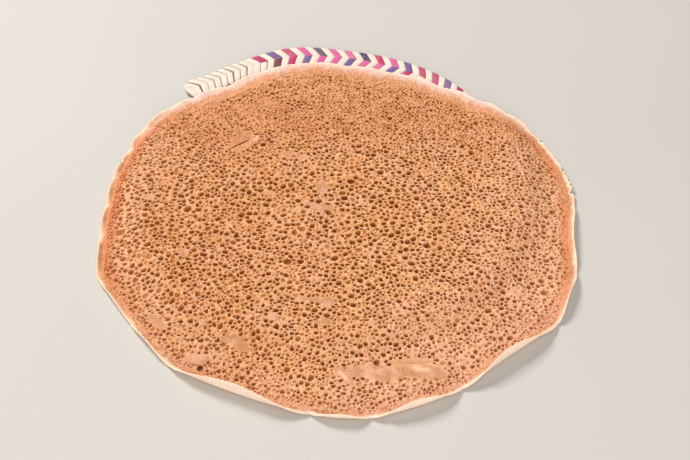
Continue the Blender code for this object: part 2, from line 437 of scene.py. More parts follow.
# %% [markdown]
# ## Where the eyes are
#
# The eyes are what makes injera look like injera: thousands of round openings, 2 to 5 mm
# wide, so close that only thin webs stand between them. A bump map would give dots without
# depth. A fine grid pushed down into holes would need many millions of points to keep the
# rims crisp. So we first decide where each eye is and how wide, then build the mesh around
# them: every point of it lies on a rim, on a web or on an eye's floor.
#
# Bubbles grow wherever there is room, the big ones first. We do the same: we draw sizes
# from large to small, and throw each one at random places until one of them is free.

# %% The crumb's measures
BATTER_SEED = 7
LOOSE_SEED, SCALE_SEED, MARGIN_SEED, HILL_SEED, DIMPLE_SEED = 23, 11, 31, 5, 6  # of the ripples
EYE_RADIUS = 1.72 * MM  # of a middling eye
EYE_SPREAD = 0.26  # how much the sizes differ, as the spread of their logarithm
EYE_COUNT = 8200
PORE_RADIUS = (0.42 * MM, 0.85 * MM)  # of the small late bubbles between them
PORE_COUNT = 2900
TRIES = 260
WEB_LEAST = 0.32 * MM  # between two eyes in the closest crumb
WEB_LOOSE = 1.4 * MM  # and in the loosest
MARGINS = (0.8 * MM, 1.6 * MM, 5.5 * MM)  # bare before the first eyes: front, sides, back
GROWING = (8 * MM, 14 * MM, 20 * MM)  # over which the eyes grow to their full size

# Smooth patches where no bubble broke: the middle, the half length and the half width in
# millimetres from the bread's centre, and the turn of the long way in degrees.
SMOOTH_PATCHES = [
    (-58, 78, 9, 6, 0), (-42, 72, 9, 4, 0), (-17, 28, 7, 9, 0), (-21, -2, 12, 8, 0),
    (-76, 18, 8, 4, 0), (-11, -128, 7, 7, 0), (-15, -152, 9, 6, 0), (-98, -173, 19, 7, -25),
    (-64, -147, 8, 5, 0), (-27, -124, 17, 4, 0), (-201, 13, 7, 6, 0), (-157, -65, 6, 6, 0),
    (-133, -152, 4, 5, 0), (38, -206, 40, 9, -2), (82, -206, 24, 8, -8), (-106, 100, 17, 10, 20),
    (-135, -191, 14, 7, 0), (5, -211, 14, 4, -50), (-178, -145, 19, 4, -48),
]
# Marks in the surface: the same five measures, then how high they stand, in millimetres.
SURFACE_MARKS = [
    (-109.5, 94, 10.5, 1.05, 35, -3.2), (-107.8, 91.4, 9, 1.7, 35, 1.0), (78, -203, 9, 3.6, -12, 1.1),
    (5, -211, 9, 2.4, -50, 0.9), (70, -195.5, 17, 1.6, 2, -0.8), (-92, 101.5, 6, 3.2, 70, 0.9),
]
# Large deep eyes that stand alone: the middle and the radius in millimetres, then how dark
# they are painted, their brown and painted shade together.
LONE_EYES = [(-84, 92.6, 2.8, 1.4), (-130, -201, 2.6, 2.0), (12, 36, 3.0, 1.2), (6, 11, 3.4, 1.3)]
batter = np.random.default_rng(BATTER_SEED)
print(EYE_COUNT + PORE_COUNT, "eyes wanted,", len(SMOOTH_PATCHES), "smooth patches")

# %% Patches and ripples
PATCH_CORE = 0.85  # of a patch's size is quite smooth
PATCH_FADE = 0.35
WAVE_SPREAD = (0.7, 1.4)  # of the waves' length in one ripple pattern


def within(x, y, place):
    """Distances along and across a patch, as shares of its half length and half width."""
    dx = x - place[0] * MM
    dy = y - place[1] * MM
    turn = math.radians(place[4])
    along = dx * math.cos(turn) + dy * math.sin(turn)
    across = dy * math.cos(turn) - dx * math.sin(turn)
    return along / (place[2] * MM), across / (place[3] * MM)


def smoothness(x, y):
    """1 in a smooth patch, 0 well outside."""
    share = np.zeros_like(x)
    for patch in SMOOTH_PATCHES:
        along, across = within(x, y, patch)
        share = np.maximum(share, 1 - ease((np.hypot(along, across) - PATCH_CORE) / PATCH_FADE))
    return share


def ripples(x, y, length, seed, waves=7):
    """A gentle random pattern between about -1 and 1, with waves of a given length."""
    draw = np.random.default_rng(seed)
    total = np.zeros_like(x)
    for _ in range(waves):
        heading = draw.uniform(0, 2 * math.pi)
        k = 2 * math.pi / (length * draw.uniform(*WAVE_SPREAD))
        phase = draw.uniform(0, 2 * math.pi)
        total += np.sin(k * (x * math.cos(heading) + y * math.sin(heading)) + phase)
    return total / math.sqrt(waves)


by_the_slit = smoothness(np.array([-106 * MM]), np.array([100 * MM]))
print("the slit's patch is smooth:", float(by_the_slit[0]))

# %% Front, side and back
FRONT_FROM, FRONT_FADE = 0.25, 0.5  # of the way from the centre to the very front
BACK_FROM, BACK_BLEND = 0.35, 0.4  # and to the very back


def frontness(angle):
    """1 where the edge faces the front, 0 round the back and sides."""
    return ease((-np.sin(angle) - FRONT_FROM) / FRONT_FADE)


def backness(angle):
    """1 where the edge faces the back, 0 round the sides and front."""
    return ease((np.sin(angle) - BACK_FROM) / BACK_BLEND)


def round_the_edge(values, angle):
    """A blend of a front, a side and a back value."""
    front, side, back = values
    return lerp(lerp(side, back, backness(angle)), front, frontness(angle))


def inward_of_foot(x, y):
    """How far a point lies inside the line where the lip starts to rise."""
    return bread_span(np.arctan2(y, x))[0] - np.hypot(x, y)


print("round the edge:", [round(float(frontness(angle)), 1) for angle in (-1.6, 0.0, 1.6)], "frontness")

# %% [markdown]
# A griddle is never evenly hot. At the back it was cooler, with a quiet stretch at the back
# left, so the bubbles there stayed small and shallow. Towards the front they are a little
# smaller again. Three plain formulas of the place hold that, and everything else asks them.

# %% Where the batter bubbled well
VIGOUR_LEAST = 0.36  # at the back edge
BACK_EDGE = 0.215
BACK_FADE = 0.23  # from the back edge to where the bubbling is full
SIDE_TILT = 0.5  # how much weaker each metre to the right
QUIET_PLACE = (-0.11, 0.13)
QUIET_REACH = (0.10, 0.055)
QUIET_SHARE = 0.26
CALM_SHARE = 0.20
CALM_START = -0.05
CALM_FADE = 0.13
SCALE_CENTRE = 1.15  # eyes at the centre of the bread, against middling ones
CENTRE_REACH = 0.16
SCALE_WEAK = 0.48  # eyes where nothing bubbled well
SCALE_FIRST = 0.36  # the first eyes in from the margin
SCALE_RIPPLE = 0.12
SCALE_WAVE = 32 * MM
FIRST_GROWN = 0.2  # how far the first eyes count as grown
LOOSE_WAVE = 38 * MM
LOOSE_RIPPLE = 0.5
LOOSE_BASE = 0.02
LOOSE_MIDDLE = (0.30, 0.07)  # how much looser the middle is, and out to where
# How much closer the front left is, the x and y where that starts, and over what length.
CLOSE_LEFT = (0.22, 0.02, 0.03, 0.06)


def vigour(x, y):
    """How well the batter bubbled at a place."""
    off_x = (x - QUIET_PLACE[0]) / QUIET_REACH[0]
    off_y = (y - QUIET_PLACE[1]) / QUIET_REACH[1]
    quiet = QUIET_SHARE * np.exp(-(off_x**2) - off_y**2)
    calm = 1 - CALM_SHARE * ease((CALM_START - y) / CALM_FADE)
    forward = lerp(VIGOUR_LEAST, 1.0, ease((BACK_EDGE - y) / BACK_FADE))
    return forward * (1 - SIDE_TILT * x) * calm - quiet


def looseness(x, y):
    """0 where the crumb is close, 1 where wide webs are left between the eyes."""
    looser, reach = LOOSE_MIDDLE
    closer, from_x, from_y, over = CLOSE_LEFT
    middle = 1 - ease(np.hypot(x, y) / reach)
    close = ease((from_x - x) / over) * ease((from_y - y) / over)
    rippled = LOOSE_RIPPLE * ripples(x, y, LOOSE_WAVE, LOOSE_SEED)
    return ease(rippled + LOOSE_BASE + looser * middle - closer * close)


def eye_scale(x, y):
    """How wide the eyes are at a place, against a middling one."""
    radius = np.hypot(x, y)
    angle = np.arctan2(y, x)
    inside = inward_of_foot(x, y) - round_the_edge(MARGINS, angle)
    grown = ease(inside / round_the_edge(GROWING, angle) * (1 - FIRST_GROWN) + FIRST_GROWN)
    scale = lerp(SCALE_CENTRE, 1.0, ease(radius / CENTRE_REACH)) * lerp(SCALE_WEAK, 1.0, vigour(x, y))
    scale *= 1 + SCALE_RIPPLE * ripples(x, y, SCALE_WAVE, SCALE_SEED)
    return scale * lerp(SCALE_FIRST, 1.0, grown)


from_back = [round(float(vigour(0.0, y)), 2) for y in (0.2, 0.1, 0.0, -0.1, -0.2)]
print("vigour from back to front:", from_back)

# %% Marks and the upper side
HILLS = (0.25 * MM, 26 * MM)  # how high, how long
DIMPLES = (0.12 * MM, 9 * MM)
RELIEF_FADE = 12 * MM  # in from the foot


def mark_height(x, y):
    """How high the marks stand at a place."""
    height = np.zeros_like(x)
    for mark in SURFACE_MARKS:
        along, across = within(x, y, mark)
        height = height + mark[5] * MM * np.exp(-(along**4) - across**2)
    return height


def relief(x, y):
    """The sheet's small hills and marks, on top of its drape."""
    hills = HILLS[0] * ripples(x, y, HILLS[1], HILL_SEED)
    dimples = DIMPLES[0] * ripples(x, y, DIMPLES[1], DIMPLE_SEED)
    return (hills + dimples) * ease(inward_of_foot(x, y) / RELIEF_FADE) + mark_height(x, y)


def surface(x, y):
    """The height of the upper side, before any eye is sunk into it."""
    angle = np.arctan2(y, x)
    thickness = bread_thickness(np.hypot(x, y), bread_span(angle)[0], angle)
    return bread_under(x, y) + thickness + relief(x, y)


print("upper side in the middle:", round(float(surface(np.zeros(1), np.zeros(1))[0]) / MM, 2), "mm")

# %% [markdown]
# A picture of the free space keeps the throwing fast: a fine grid that holds, for each of
# its squares, the distance to the nearest rim so far. A new eye looks up one square, and
# once it is placed it lowers the distances in a small window around it.

# %% Free space
GRID_STEP = 0.4 * MM
GRID_HALF = 0.265
GRID_REACH = 9 * MM


class FreeSpace:
    """A grid of distances to the nearest thing placed so far."""

    def __init__(self):
        size = int(2 * GRID_HALF / GRID_STEP)
        self.clear = np.full((size, size), GRID_REACH)
        self.centres = (np.arange(size) + 0.5) * GRID_STEP - GRID_HALF

    def square(self, x, y):
        """The grid's square that a place falls into."""
        return int((x + GRID_HALF) / GRID_STEP), int((y + GRID_HALF) / GRID_STEP)

    def room(self, x, y):
        """How far the nearest rim is."""
        return self.clear[self.square(x, y)]

    def claim(self, x, y, radius):
        """Takes a round place."""
        column, row = self.square(x, y)
        reach = int(GRID_REACH / GRID_STEP)
        columns = slice(max(column - reach, 0), column + reach)
        rows = slice(max(row - reach, 0), row + reach)
        dx = self.centres[columns, None] - x
        dy = self.centres[None, rows] - y
        window = self.clear[columns, rows]
        np.minimum(window, np.hypot(dx, dy) - radius, out=window)


print("a grid of", len(FreeSpace().centres), "squares each way")

# %% Places to throw at
FOOT_MARGIN = 1.5 * MM
SHARP_MARK = 2  # millimetres: a mark whose half width is less gets rows of its own
MARK_ROWS = (-2.4, -1.2, -0.55, 0, 0.55, 1.2, 2.4)  # across it, in half widths
MARK_STEP = 0.8  # along it, in millimetres


def random_places(count):
    """Places spread evenly over the sheet, inside the line of its foot."""
    x, y = batter.uniform(-GRID_HALF, GRID_HALF, (2, count))
    kept = inward_of_foot(x, y) > FOOT_MARGIN
    return x[kept], y[kept]


def mark_points():
    """Rows of plain points along each sharp mark, so that the mesh can follow it."""
    rows = []
    for x, y, long, wide, turn, _ in SURFACE_MARKS:
        if wide < SHARP_MARK:
            steps = np.arange(-long - 1, long + 1.1, MARK_STEP)
            along, across = np.meshgrid(steps, np.array(MARK_ROWS) * wide)
            heading = math.radians(turn)
            px = x + along * math.cos(heading) - across * math.sin(heading)
            py = y + along * math.sin(heading) + across * math.cos(heading)
            rows.append(np.stack([px.ravel() * MM, py.ravel() * MM, 0 * px.ravel()], 1))
    return np.concatenate(rows)


marked = mark_points()
print(len(marked), "points along the sharp marks")

# %% [markdown]
# The batter is poured in a spiral from the outside in, and a faint swirl of denser rows
# stays in the crumb. So a throw is likelier to be accepted on the swirl than beside it,
# and least likely in a smooth patch.

# %% Throwing the eyes
EYE_THROWS = 1500000
PORE_THROWS = 700000
SWIRL_PITCH = 9 * MM
SWIRL_CHANCE = (0.6, 0.4)  # halfway, and how far it swings
CLOSE_FRONT = 0.3  # how much thinner the webs are towards the front
CLOSE_FRONT_START = -0.03
CLOSE_FRONT_FADE = 0.08
WEB_OF_SMALL = 0.7  # how wide a web is between small eyes, against large ones
LARGE_CHANCE = 0.65  # a throw where eyes are wider than this is refused more often
MARGIN_RIPPLE = 0.35
MARGIN_WAVE = 14 * MM
MARK_ROOM = 0.3 * MM  # kept free round a mark's points
LONE_ROOM = 0.8 * MM  # and round a lone eye


def throw_all(free, sizes, count, wideness):
    """Throws sizes from large to small, each until it finds a free place."""
    x, y = random_places(count)
    margin = round_the_edge(MARGINS, np.arctan2(y, x))
    margin = margin * (1 + MARGIN_RIPPLE * ripples(x, y, MARGIN_WAVE, MARGIN_SEED))
    inside = inward_of_foot(x, y) - margin
    scale = eye_scale(x, y) ** wideness
    web = lerp(WEB_LEAST, WEB_LOOSE, looseness(x, y)) * lerp(WEB_OF_SMALL, 1.0, ease(scale))
    web = web * (1 - CLOSE_FRONT * ease((CLOSE_FRONT_START - y) / CLOSE_FRONT_FADE))
    chance = (1 - smoothness(x, y)) * np.minimum(1.0, LARGE_CHANCE / scale)
    swirl = np.hypot(x, y) / SWIRL_PITCH - np.arctan2(y, x) / (2 * math.pi)
    chance = chance * (SWIRL_CHANCE[0] + SWIRL_CHANCE[1] * np.cos(2 * math.pi * swirl))
    willing = (chance > batter.uniform(0, 1, len(x))) & (inside > 0)
    throws = zip(*(part[willing].tolist() for part in (x, y, scale, web)))
    found = []
    for size in sizes.tolist():
        for _ in range(TRIES):
            place = next(throws, None)
            if place is None:
                return found
            px, py, wide, gap = place
            radius = size * wide
            if free.room(px, py) > radius + gap:
                free.claim(px, py, radius)
                found.append((px, py, radius))
                break
    return found


def throw_eyes():
    """Places and radii of all the eyes."""
    free = FreeSpace()
    for px, py, _ in marked:
        free.claim(px, py, MARK_ROOM)
    lone = [(x * MM, y * MM, radius * MM) for x, y, radius, _ in LONE_EYES]
    for px, py, radius in lone:
        free.claim(px, py, radius + LONE_ROOM)
    sizes = EYE_RADIUS * np.sort(np.exp(batter.normal(0, EYE_SPREAD, EYE_COUNT)))[::-1]
    large = throw_all(free, sizes, EYE_THROWS, 1.0)
    sizes = np.sort(batter.uniform(*PORE_RADIUS, PORE_COUNT))[::-1]
    small = throw_all(free, sizes, PORE_THROWS, 0.3)
    print(len(large), "eyes and", len(small), "pores")
    return np.array(lone + large + small), free


eyes, free_space = throw_eyes()
print(len(eyes), "eyes,", round(float(np.mean(eyes[:, 2])) * 2 / MM, 2), "mm wide on average")

# %% [markdown]
# Between the eyes the surface still needs points: in the smooth patches, along the margin,
# and closer together wherever a mark such as the slit or a ridge has to show. These plain
# points are thrown in the same way. Last, the line where the lips begin gets its own
# points, so that the eyed surface and the lips share an edge.

# %% Plain points and the lip line
PLAIN_SPACING = 3.2 * MM
FINE_SPACING = 1.3 * MM
FINE_PAST = (2, 2.2)  # millimetres past a mark's end and side that are still fine
RIM_CLEAR = 0.45  # of the spacing, between a plain point and the nearest rim
PLAIN_THROWS = 160000
LIP_LINE_INSET = 1.0 * MM


def throw_plain(free):
    """Plain points wherever the eyes leave room."""
    x, y = random_places(PLAIN_THROWS)
    fine = np.zeros_like(x)
    for mark in SURFACE_MARKS:
        widened = (*mark[:2], mark[2] + FINE_PAST[0], mark[3] + FINE_PAST[1], mark[4])
        along, across = within(x, y, widened)
        fine = np.maximum(fine, np.exp(-(along**4) - across**4))
    spacing = lerp(PLAIN_SPACING, FINE_SPACING, ease(fine * 2))
    others = FreeSpace()
    for px, py, _ in marked:
        others.claim(px, py, 0.0)
    plain = []
    for px, py, apart in zip(x.tolist(), y.tolist(), spacing.tolist()):
        if free.room(px, py) > RIM_CLEAR * apart and others.room(px, py) > apart:
            others.claim(px, py, 0.0)
            plain.append((px, py, 0.0))
    return np.array(plain)


lip_line_radius = bread_span(stations)[0] - LIP_LINE_INSET
lip_line = np.stack(
    [lip_line_radius * np.cos(stations), lip_line_radius * np.sin(stations), 0 * stations], 1
)
plain_points = throw_plain(free_space)
sites = np.concatenate([lip_line, eyes, marked, plain_points])
print(len(lip_line), "points on the lip line,", len(plain_points), "plain points")

# %% [markdown]
# ## The eyed surface
#
# Now each point is joined to its neighbours by triangles that are as even as possible, a
# Delaunay triangulation, which Blender can make. The triangles are not the surface itself.
# They tell each eye who its neighbours are. Halfway between two neighbouring rims lies the
# crest of their web, and in the middle of each triangle three webs meet. So around every
# eye runs a loop of crest points, and towards each of them the eye gets a point on its
# rim, one on its wall and one near its floor.

# %% Neighbours
INSIDE_ONLY = 1  # the triangulation's mode: nothing outside the loop
SAME_POINT = 1e-5

loop_edges = [(here, (here + 1) % len(lip_line)) for here in range(len(lip_line))]
flat_points = [mathutils.Vector((x, y)) for x, y in sites[:, :2] / MM]
meshing = mathutils.geometry.delaunay_2d_cdt(flat_points, loop_edges, [], INSIDE_ONLY, SAME_POINT)
triangles = np.array([tuple(face) for face in meshing[2]])
joined = np.concatenate([triangles[:, [k, (k + 1) % 3]] for k in range(3)])
edges, edge_index = np.unique(np.sort(joined, axis=1), axis=0, return_inverse=True)
edge_of = edge_index.reshape(3, -1).T  # for each triangle, the edge that leaves each corner
site_count, edge_count, triangle_count = len(sites), len(edges), len(triangles)
print(site_count, "points,", edge_count, "webs,", triangle_count, "meeting places")

# %% Crests
places = sites[:, :2]
radii = sites[:, 2]
first, second = edges.T
spans = places[second] - places[first]
lengths = np.hypot(*spans.T)
gaps = lengths - radii[first] - radii[second]
edge_crests = places[first] + spans * ((radii[first] + gaps / 2) / lengths)[:, None]
meeting_crests = edge_crests[edge_of].mean(axis=1)
crests = np.concatenate([edge_crests, meeting_crests])
crest_gap = np.concatenate([gaps, gaps[edge_of].mean(axis=1)])
print("webs are", round(float(np.median(crest_gap)) / MM, 2), "mm wide in the middle of the range")

# %% [markdown]
# A round eye would look drilled. A real one is a little oval, its rim wavers, and it grows
# into whatever free corner its neighbours leave. So every rim point looks from its own eye
# to one crest point, and how far out it stands depends on the room in that direction.

# %% Rims
WEB_HALF_LEAST = 0.22 * MM
RIM_GROWTH = (0.80, 0.30)  # into the free corner between its neighbours: close, loose
RIM_GROWTH_MOST = 0.85  # of the spare room
RIM_UNEVEN = 0.09
RIM_LEAST = 0.15 * MM  # from the eye's middle, and from the crest
EYE_OVAL = 0.13
EYE_OVAL_MOST = 0.28

home = np.concatenate([edges.ravel(), triangles.ravel()])
target = np.concatenate([np.repeat(np.arange(edge_count), 2),
                         edge_count + np.repeat(np.arange(triangle_count), 3)])
ray = crests[target] - places[home]
reach = np.hypot(*ray.T)
ray /= reach[:, None]
spare = reach - WEB_HALF_LEAST - radii[home]
oval = np.clip(EYE_OVAL * batter.normal(0, 1, site_count), -EYE_OVAL_MOST, EYE_OVAL_MOST)
oval_turn = batter.uniform(0, math.pi, site_count)
ray_angle = np.arctan2(ray[:, 1], ray[:, 0])
rim_width = radii[home] * (1 + RIM_UNEVEN * batter.normal(0, 1, len(home))
                           + oval[home] * np.cos(2 * (ray_angle - oval_turn[home])))
growth = lerp(*RIM_GROWTH, looseness(*places.T))[home]
rim_width += np.minimum(RIM_GROWTH_MOST * spare, growth * radii[home])
rim_width = np.clip(rim_width, RIM_LEAST, reach - RIM_LEAST)
print(len(home), "rim points")

# %% Depths
DEPTH_SHARE = (0.35, 1.9)  # of an eye's radius, from the shallowest to the deepest
DEPTH_BASE = 0.30 * MM
DEPTH_MOST = 0.70  # of the sheet's thickness
DEPTH_WEAK = 0.6  # how deep an eye is where nothing bubbled well, against elsewhere
LEAN = 0.22  # of the radius, how far a floor may lie off its opening

site_angle = np.arctan2(*places.T[::-1])
thick = bread_thickness(np.hypot(*places.T), bread_span(site_angle)[0], site_angle)
deepness = batter.uniform(0, 1, site_count)
lone = slice(len(lip_line), len(lip_line) + len(LONE_EYES))
deepness[lone] = 1.0
depths = DEPTH_BASE + radii * lerp(*DEPTH_SHARE, deepness)
depths *= lerp(DEPTH_WEAK, 1.0, vigour(*places.T))
depths = np.where(radii > 0, np.minimum(depths, DEPTH_MOST * thick), 0.0)
lean = batter.normal(0, LEAN / 2, (site_count, 2)) * radii[:, None]
print("eyes down to", round(float(depths.max()) / MM, 2), "mm deep")

# %% [markdown]
# A wide web keeps a raised rim, where the batter puffed up before it set. A thin one dries
# and sinks like a saddle between its two eyes. Along the lip line nothing sinks, because
# the lips are swept from the sheet's own height.

# %% How crests and rims sink
RIM_RAISE = 0.16 * MM  # how far a free rim stands up
RIM_DROP = 0.14 * MM  # how far the rim of a thin web sinks
RIM_WEB = (0.9 * MM, 1.6 * MM)  # a web this wide has a low rim, and this much more a free one
SADDLE = 0.55 * MM  # how far a thin web sinks
SADDLE_WEB = 1.5 * MM
CREST_UNEVEN = 0.09 * MM
NARROW_WEB = 1.9 * MM  # below it a web counts as narrow in the finish


def lifted(flat, below):
    """Puts flat points on the sheet's surface, each a depth below it."""
    x, y = flat.T
    return np.stack([x, y, surface(x, y) - below], 1)


lip_first = len(lip_line)
narrow = 1 - ease(crest_gap / NARROW_WEB)
rim_sink = lerp(-RIM_RAISE, RIM_DROP, 1 - ease((crest_gap - RIM_WEB[0]) / RIM_WEB[1]))
crest_sink = SADDLE * (1 - ease(crest_gap / SADDLE_WEB))
crest_sink += CREST_UNEVEN * batter.normal(0, 1, len(crests))
on_lip_line = np.zeros(edge_count + triangle_count, bool)
on_lip_line[:edge_count] = (first < lip_first) & (second < lip_first)
crest_sink[on_lip_line] = 0.0
print(int(np.sum(narrow > 0.5)), "narrow webs")

# %% All the points of the eyed surface
HOLLOW_FULL = 2.9 * MM  # the depth at which an eye is painted darkest, its brown and painted shade
HOLLOW_WEAK = 0.55  # of that depth where nothing bubbled well
HOLLOW_LEAST = 0.34  # and how dark even a shallow one is painted
WALL_LEVELS = [(1.0, 0.0), (0.87, 0.44), (0.52, 0.88)]  # share of the rim's width, of the depth
RIM_HIGHLIT = 0.8  # how much a rim has of the webs' pale tone and painted highlight, at least

deepest = HOLLOW_FULL * lerp(HOLLOW_WEAK, 1.0, vigour(*places.T))
brown_and_shade = np.clip(depths / deepest, HOLLOW_LEAST, 1.0) * (radii > 0)
brown_and_shade[lone] = [eye[3] for eye in LONE_EYES]
blocks = [lifted(places + lean, depths), lifted(crests, crest_sink)]
# sunk marks such as the slit are painted dark by their depth too, as painted shade
hollow = [brown_and_shade + np.clip(-mark_height(*places.T) / HOLLOW_FULL, 0, 1),
          np.clip(-mark_height(*crests.T) / HOLLOW_FULL, 0, 1)]
pale_and_highlit_web = [np.zeros(site_count), narrow]
for width, depth in WALL_LEVELS:
    flat = places[home] + lean[home] * depth + ray * (rim_width * width)[:, None]
    below = depths[home] * depth + (1 - depth) * (crest_sink + rim_sink)[target]
    blocks.append(lifted(flat, below))
    hollow.append(brown_and_shade[home] * depth)
    pale_and_highlit_web.append(np.maximum(narrow[target], RIM_HIGHLIT) * (1 - depth))
points = np.concatenate(blocks)
hollow = np.concatenate(hollow)
print(len(points), "points before the unused ones go")

# %% [markdown]
# The points lie in one long list, block by block: the eyes' middles, the webs' crests, the
# meeting places, and then for each level all the rim, wall or floor points. So a point's
# number follows from what it is, and the faces can be written as sums of whole arrays. A
# tiny eye looks the same with fewer levels, so it goes straight from its rim to its floor.

# %% Faces
CREST = site_count
MEETING = site_count + edge_count
RING = site_count + edge_count + triangle_count
DETAIL_RADII = (0.78 * MM, 1.12 * MM)  # below these an eye has only one or two of the levels


def rim_points(level, edge, site):
    """The rim, wall or floor point of an eye towards the crest of one of its edges."""
    side = (edges[edge, 1] == site).astype(int)
    return RING + level * len(home) + 2 * edge + side


def corner_strips(k):
    """The triangles that one corner of every Delaunay triangle adds to its eye."""
    site = triangles[:, k]
    ahead = edge_of[:, k]
    behind = edge_of[:, (k + 2) % 3]
    meeting = np.arange(triangle_count)
    loops = [(CREST + ahead, MEETING + meeting, CREST + behind)]
    for level in range(len(WALL_LEVELS)):
        corner = RING + level * len(home) + 2 * edge_count + 3 * meeting + k
        loops.append((rim_points(level, ahead, site), corner, rim_points(level, behind, site)))
    levels = np.searchsorted((0.0, *DETAIL_RADII), radii[site])  # how many an eye has
    strips = []
    owners = []
    for level, outer in enumerate(loops):
        for left, right in ((0, 1), (1, 2)):
            corners = [(outer[left], outer[right], site)]
            chosen = [levels == level]
            if level < len(WALL_LEVELS):
                inner = loops[level + 1]
                corners += [(outer[left], outer[right], inner[right]),
                            (outer[left], inner[right], inner[left])]
                chosen += [levels > level] * 2
            for three, mine in zip(corners, chosen):
                strips.append(np.stack(three, 1)[mine])
                owners.append(site[mine])
    return np.concatenate(strips), np.concatenate(owners)


strips, owners = zip(*(corner_strips(k) for k in range(3)))
eyed_faces = np.concatenate(strips)
eyed_owner = np.concatenate(owners)
print(len(eyed_faces), "triangles in the eyed surface")

# %% [markdown]
# ## The lips and the underside
#
# Past the lip line the sheet is smooth. It turns up over a small arc, thins out and ends in
# a soft round edge, then comes back down its outer side and runs under the whole bread. We
# could bend a strip with a Simple Deform, but every direction has its own length and tilt,
# so we sweep the section point by point, exactly as the solid does, only finer. The very
# edge is a little uneven, and at the back right it is frayed.

# %% The lips' lengths
EDGE_UNEVEN = 0.25 * MM
FRAY = 0.8 * MM
FRAYED = (math.radians(5), math.radians(33))
FRAY_FADE = 0.04
RAGGED_MEAN = 1.7  # brings the mean of three draws back to a spread of about one
ROUND = 0.45 * THICKNESS_EDGE  # the tip past the lip's end
NOTCHES = [(math.radians(6), 4.0 * MM, 0.35), (math.radians(158.5), 2.4 * MM, 0.5),
           (math.radians(163.5), 2.0 * MM, 0.5)]  # angle, how deep, half width in degrees

loop_lookup = {tuple(pair): CREST + row for row, pair in enumerate(edges.tolist())
               if pair[0] < lip_first and pair[1] < lip_first}
lip_loop = []
for here, there in loop_edges:
    lip_loop += [here, loop_lookup[tuple(sorted((here, there)))]]
lip_loop = np.array(lip_loop)
lip_angle = np.arctan2(points[lip_loop, 1], points[lip_loop, 0])


def uneven_length(angle, length):
    """The lip's length with its small waves, its frayed stretch and its notches."""
    turns = len(angle)
    ragged = batter.normal(0, 1, turns)
    ragged = (ragged + np.roll(ragged, 1) + np.roll(ragged, 2)) / RAGGED_MEAN
    in_fray = ease((angle - FRAYED[0]) / FRAY_FADE) * ease((FRAYED[1] - angle) / FRAY_FADE)
    length = length + np.minimum(ragged - 1.0, 0.0) * lerp(EDGE_UNEVEN, FRAY, in_fray)
    for middle, deep, half in NOTCHES:
        off = np.degrees(angle - middle) / half
        length = length - deep * np.exp(-(off**2))
    return length - ROUND


foot, lip_length, lip_tilt = bread_span(lip_angle)
lip_length = uneven_length(lip_angle % (2 * math.pi), lip_length)
foot_height = bread_under(foot * np.cos(lip_angle), foot * np.sin(lip_angle))
print("lips from", round(lip_length.min() / MM, 1), "to", round(lip_length.max() / MM, 1), "mm long")

# %% A lip's section
LIP_STEPS = np.array([0.0, 0.14, 0.28, 0.42, 0.56, 0.70, 0.85, 1.0])


def lip_section(along):
    """The lower and upper points of the lip at a share of its length, and its heading."""
    bend = np.minimum(lip_tilt, lip_length / LIP_BEND_RADIUS)
    walked = along * lip_length
    turn = np.minimum(bend, walked / LIP_BEND_RADIUS)
    flank = walked - turn * LIP_BEND_RADIUS
    out = foot + LIP_BEND_RADIUS * np.sin(turn) + flank * np.cos(turn)
    up = foot_height + LIP_BEND_RADIUS * (1 - np.cos(turn)) + flank * np.sin(turn)
    thick_here = lerp(THICKNESS_FOOT, THICKNESS_EDGE, along)
    upper = (out - thick_here * np.sin(turn), up + thick_here * np.cos(turn))
    return (out, up), upper, turn


def ring_at(out, up):
    """A ring of points round the bread."""
    return np.stack([out * np.cos(lip_angle), out * np.sin(lip_angle), up], 1)


print("a section turns by up to", round(math.degrees(float(lip_section(1.0)[2].max()))), "degrees")

# %% Sweeping the lips
rings = []
ring_inward = []
ring_under = []
for along in LIP_STEPS:
    lower, upper, _ = lip_section(along)
    rings.append(ring_at(*upper))
    ring_inward.append((1 - along) * lip_length)
    ring_under.append(0.0)
lower, upper, turn = lip_section(1.0)
tip_out = (lower[0] + upper[0]) / 2 + ROUND * np.cos(turn)
tip_up = (lower[1] + upper[1]) / 2 + ROUND * np.sin(turn)
rings.append(ring_at(tip_out, tip_up))
ring_inward.append(0 * lip_length)
ring_under.append(0.5)
for along in LIP_STEPS[::-1]:
    lower, _, _ = lip_section(along)
    rings.append(ring_at(*lower))
    ring_inward.append((1 - along) * lip_length)
    ring_under.append(1.0)
print(len(rings), "rings of", len(lip_loop), "points")

# %% Faces of the lips
LIP = len(points)
around = len(lip_loop)
bands = [lip_loop] + [LIP + level * around + np.arange(around) for level in range(len(rings))]
lip_faces = []
for inner, outer in zip(bands, bands[1:]):
    inner_next = np.roll(inner, -1)
    outer_next = np.roll(outer, -1)
    lip_faces.append(np.stack([inner, outer, outer_next], 1))
    lip_faces.append(np.stack([inner, outer_next, inner_next], 1))
lip_faces = np.concatenate(lip_faces)
print(len(lip_faces), "triangles in the lips")

# %% The underside
UNDER_SPACING = 6.5 * MM
UNDER_ROWS = 42  # each way from the middle
rows = np.arange(-UNDER_ROWS, UNDER_ROWS + 1)
grid_x = (rows[:, None] + 0.5 * (rows[None, :] % 2)) * UNDER_SPACING
grid_y = np.broadcast_to(rows[None, :] * UNDER_SPACING * math.sqrt(3) / 2, grid_x.shape)
grid_x, grid_y = grid_x.ravel(), grid_y.ravel()
kept = inward_of_foot(grid_x, grid_y) > 0.5 * UNDER_SPACING
under_inner = np.stack([grid_x[kept], grid_y[kept]], 1)
under_rim = rings[-1][:, :2]
under_flat = np.concatenate([under_rim, under_inner])
under_loop = [(here, (here + 1) % around) for here in range(around)]
under_meshing = mathutils.geometry.delaunay_2d_cdt(
    [mathutils.Vector((x, y)) for x, y in under_flat / MM], under_loop, [], INSIDE_ONLY, SAME_POINT
)
under_triangles = np.array([tuple(face) for face in under_meshing[2]])
UNDER = LIP + len(rings) * around
under_ids = np.concatenate([bands[-1], UNDER + np.arange(len(under_inner))])
under_faces = under_ids[under_triangles][:, ::-1]
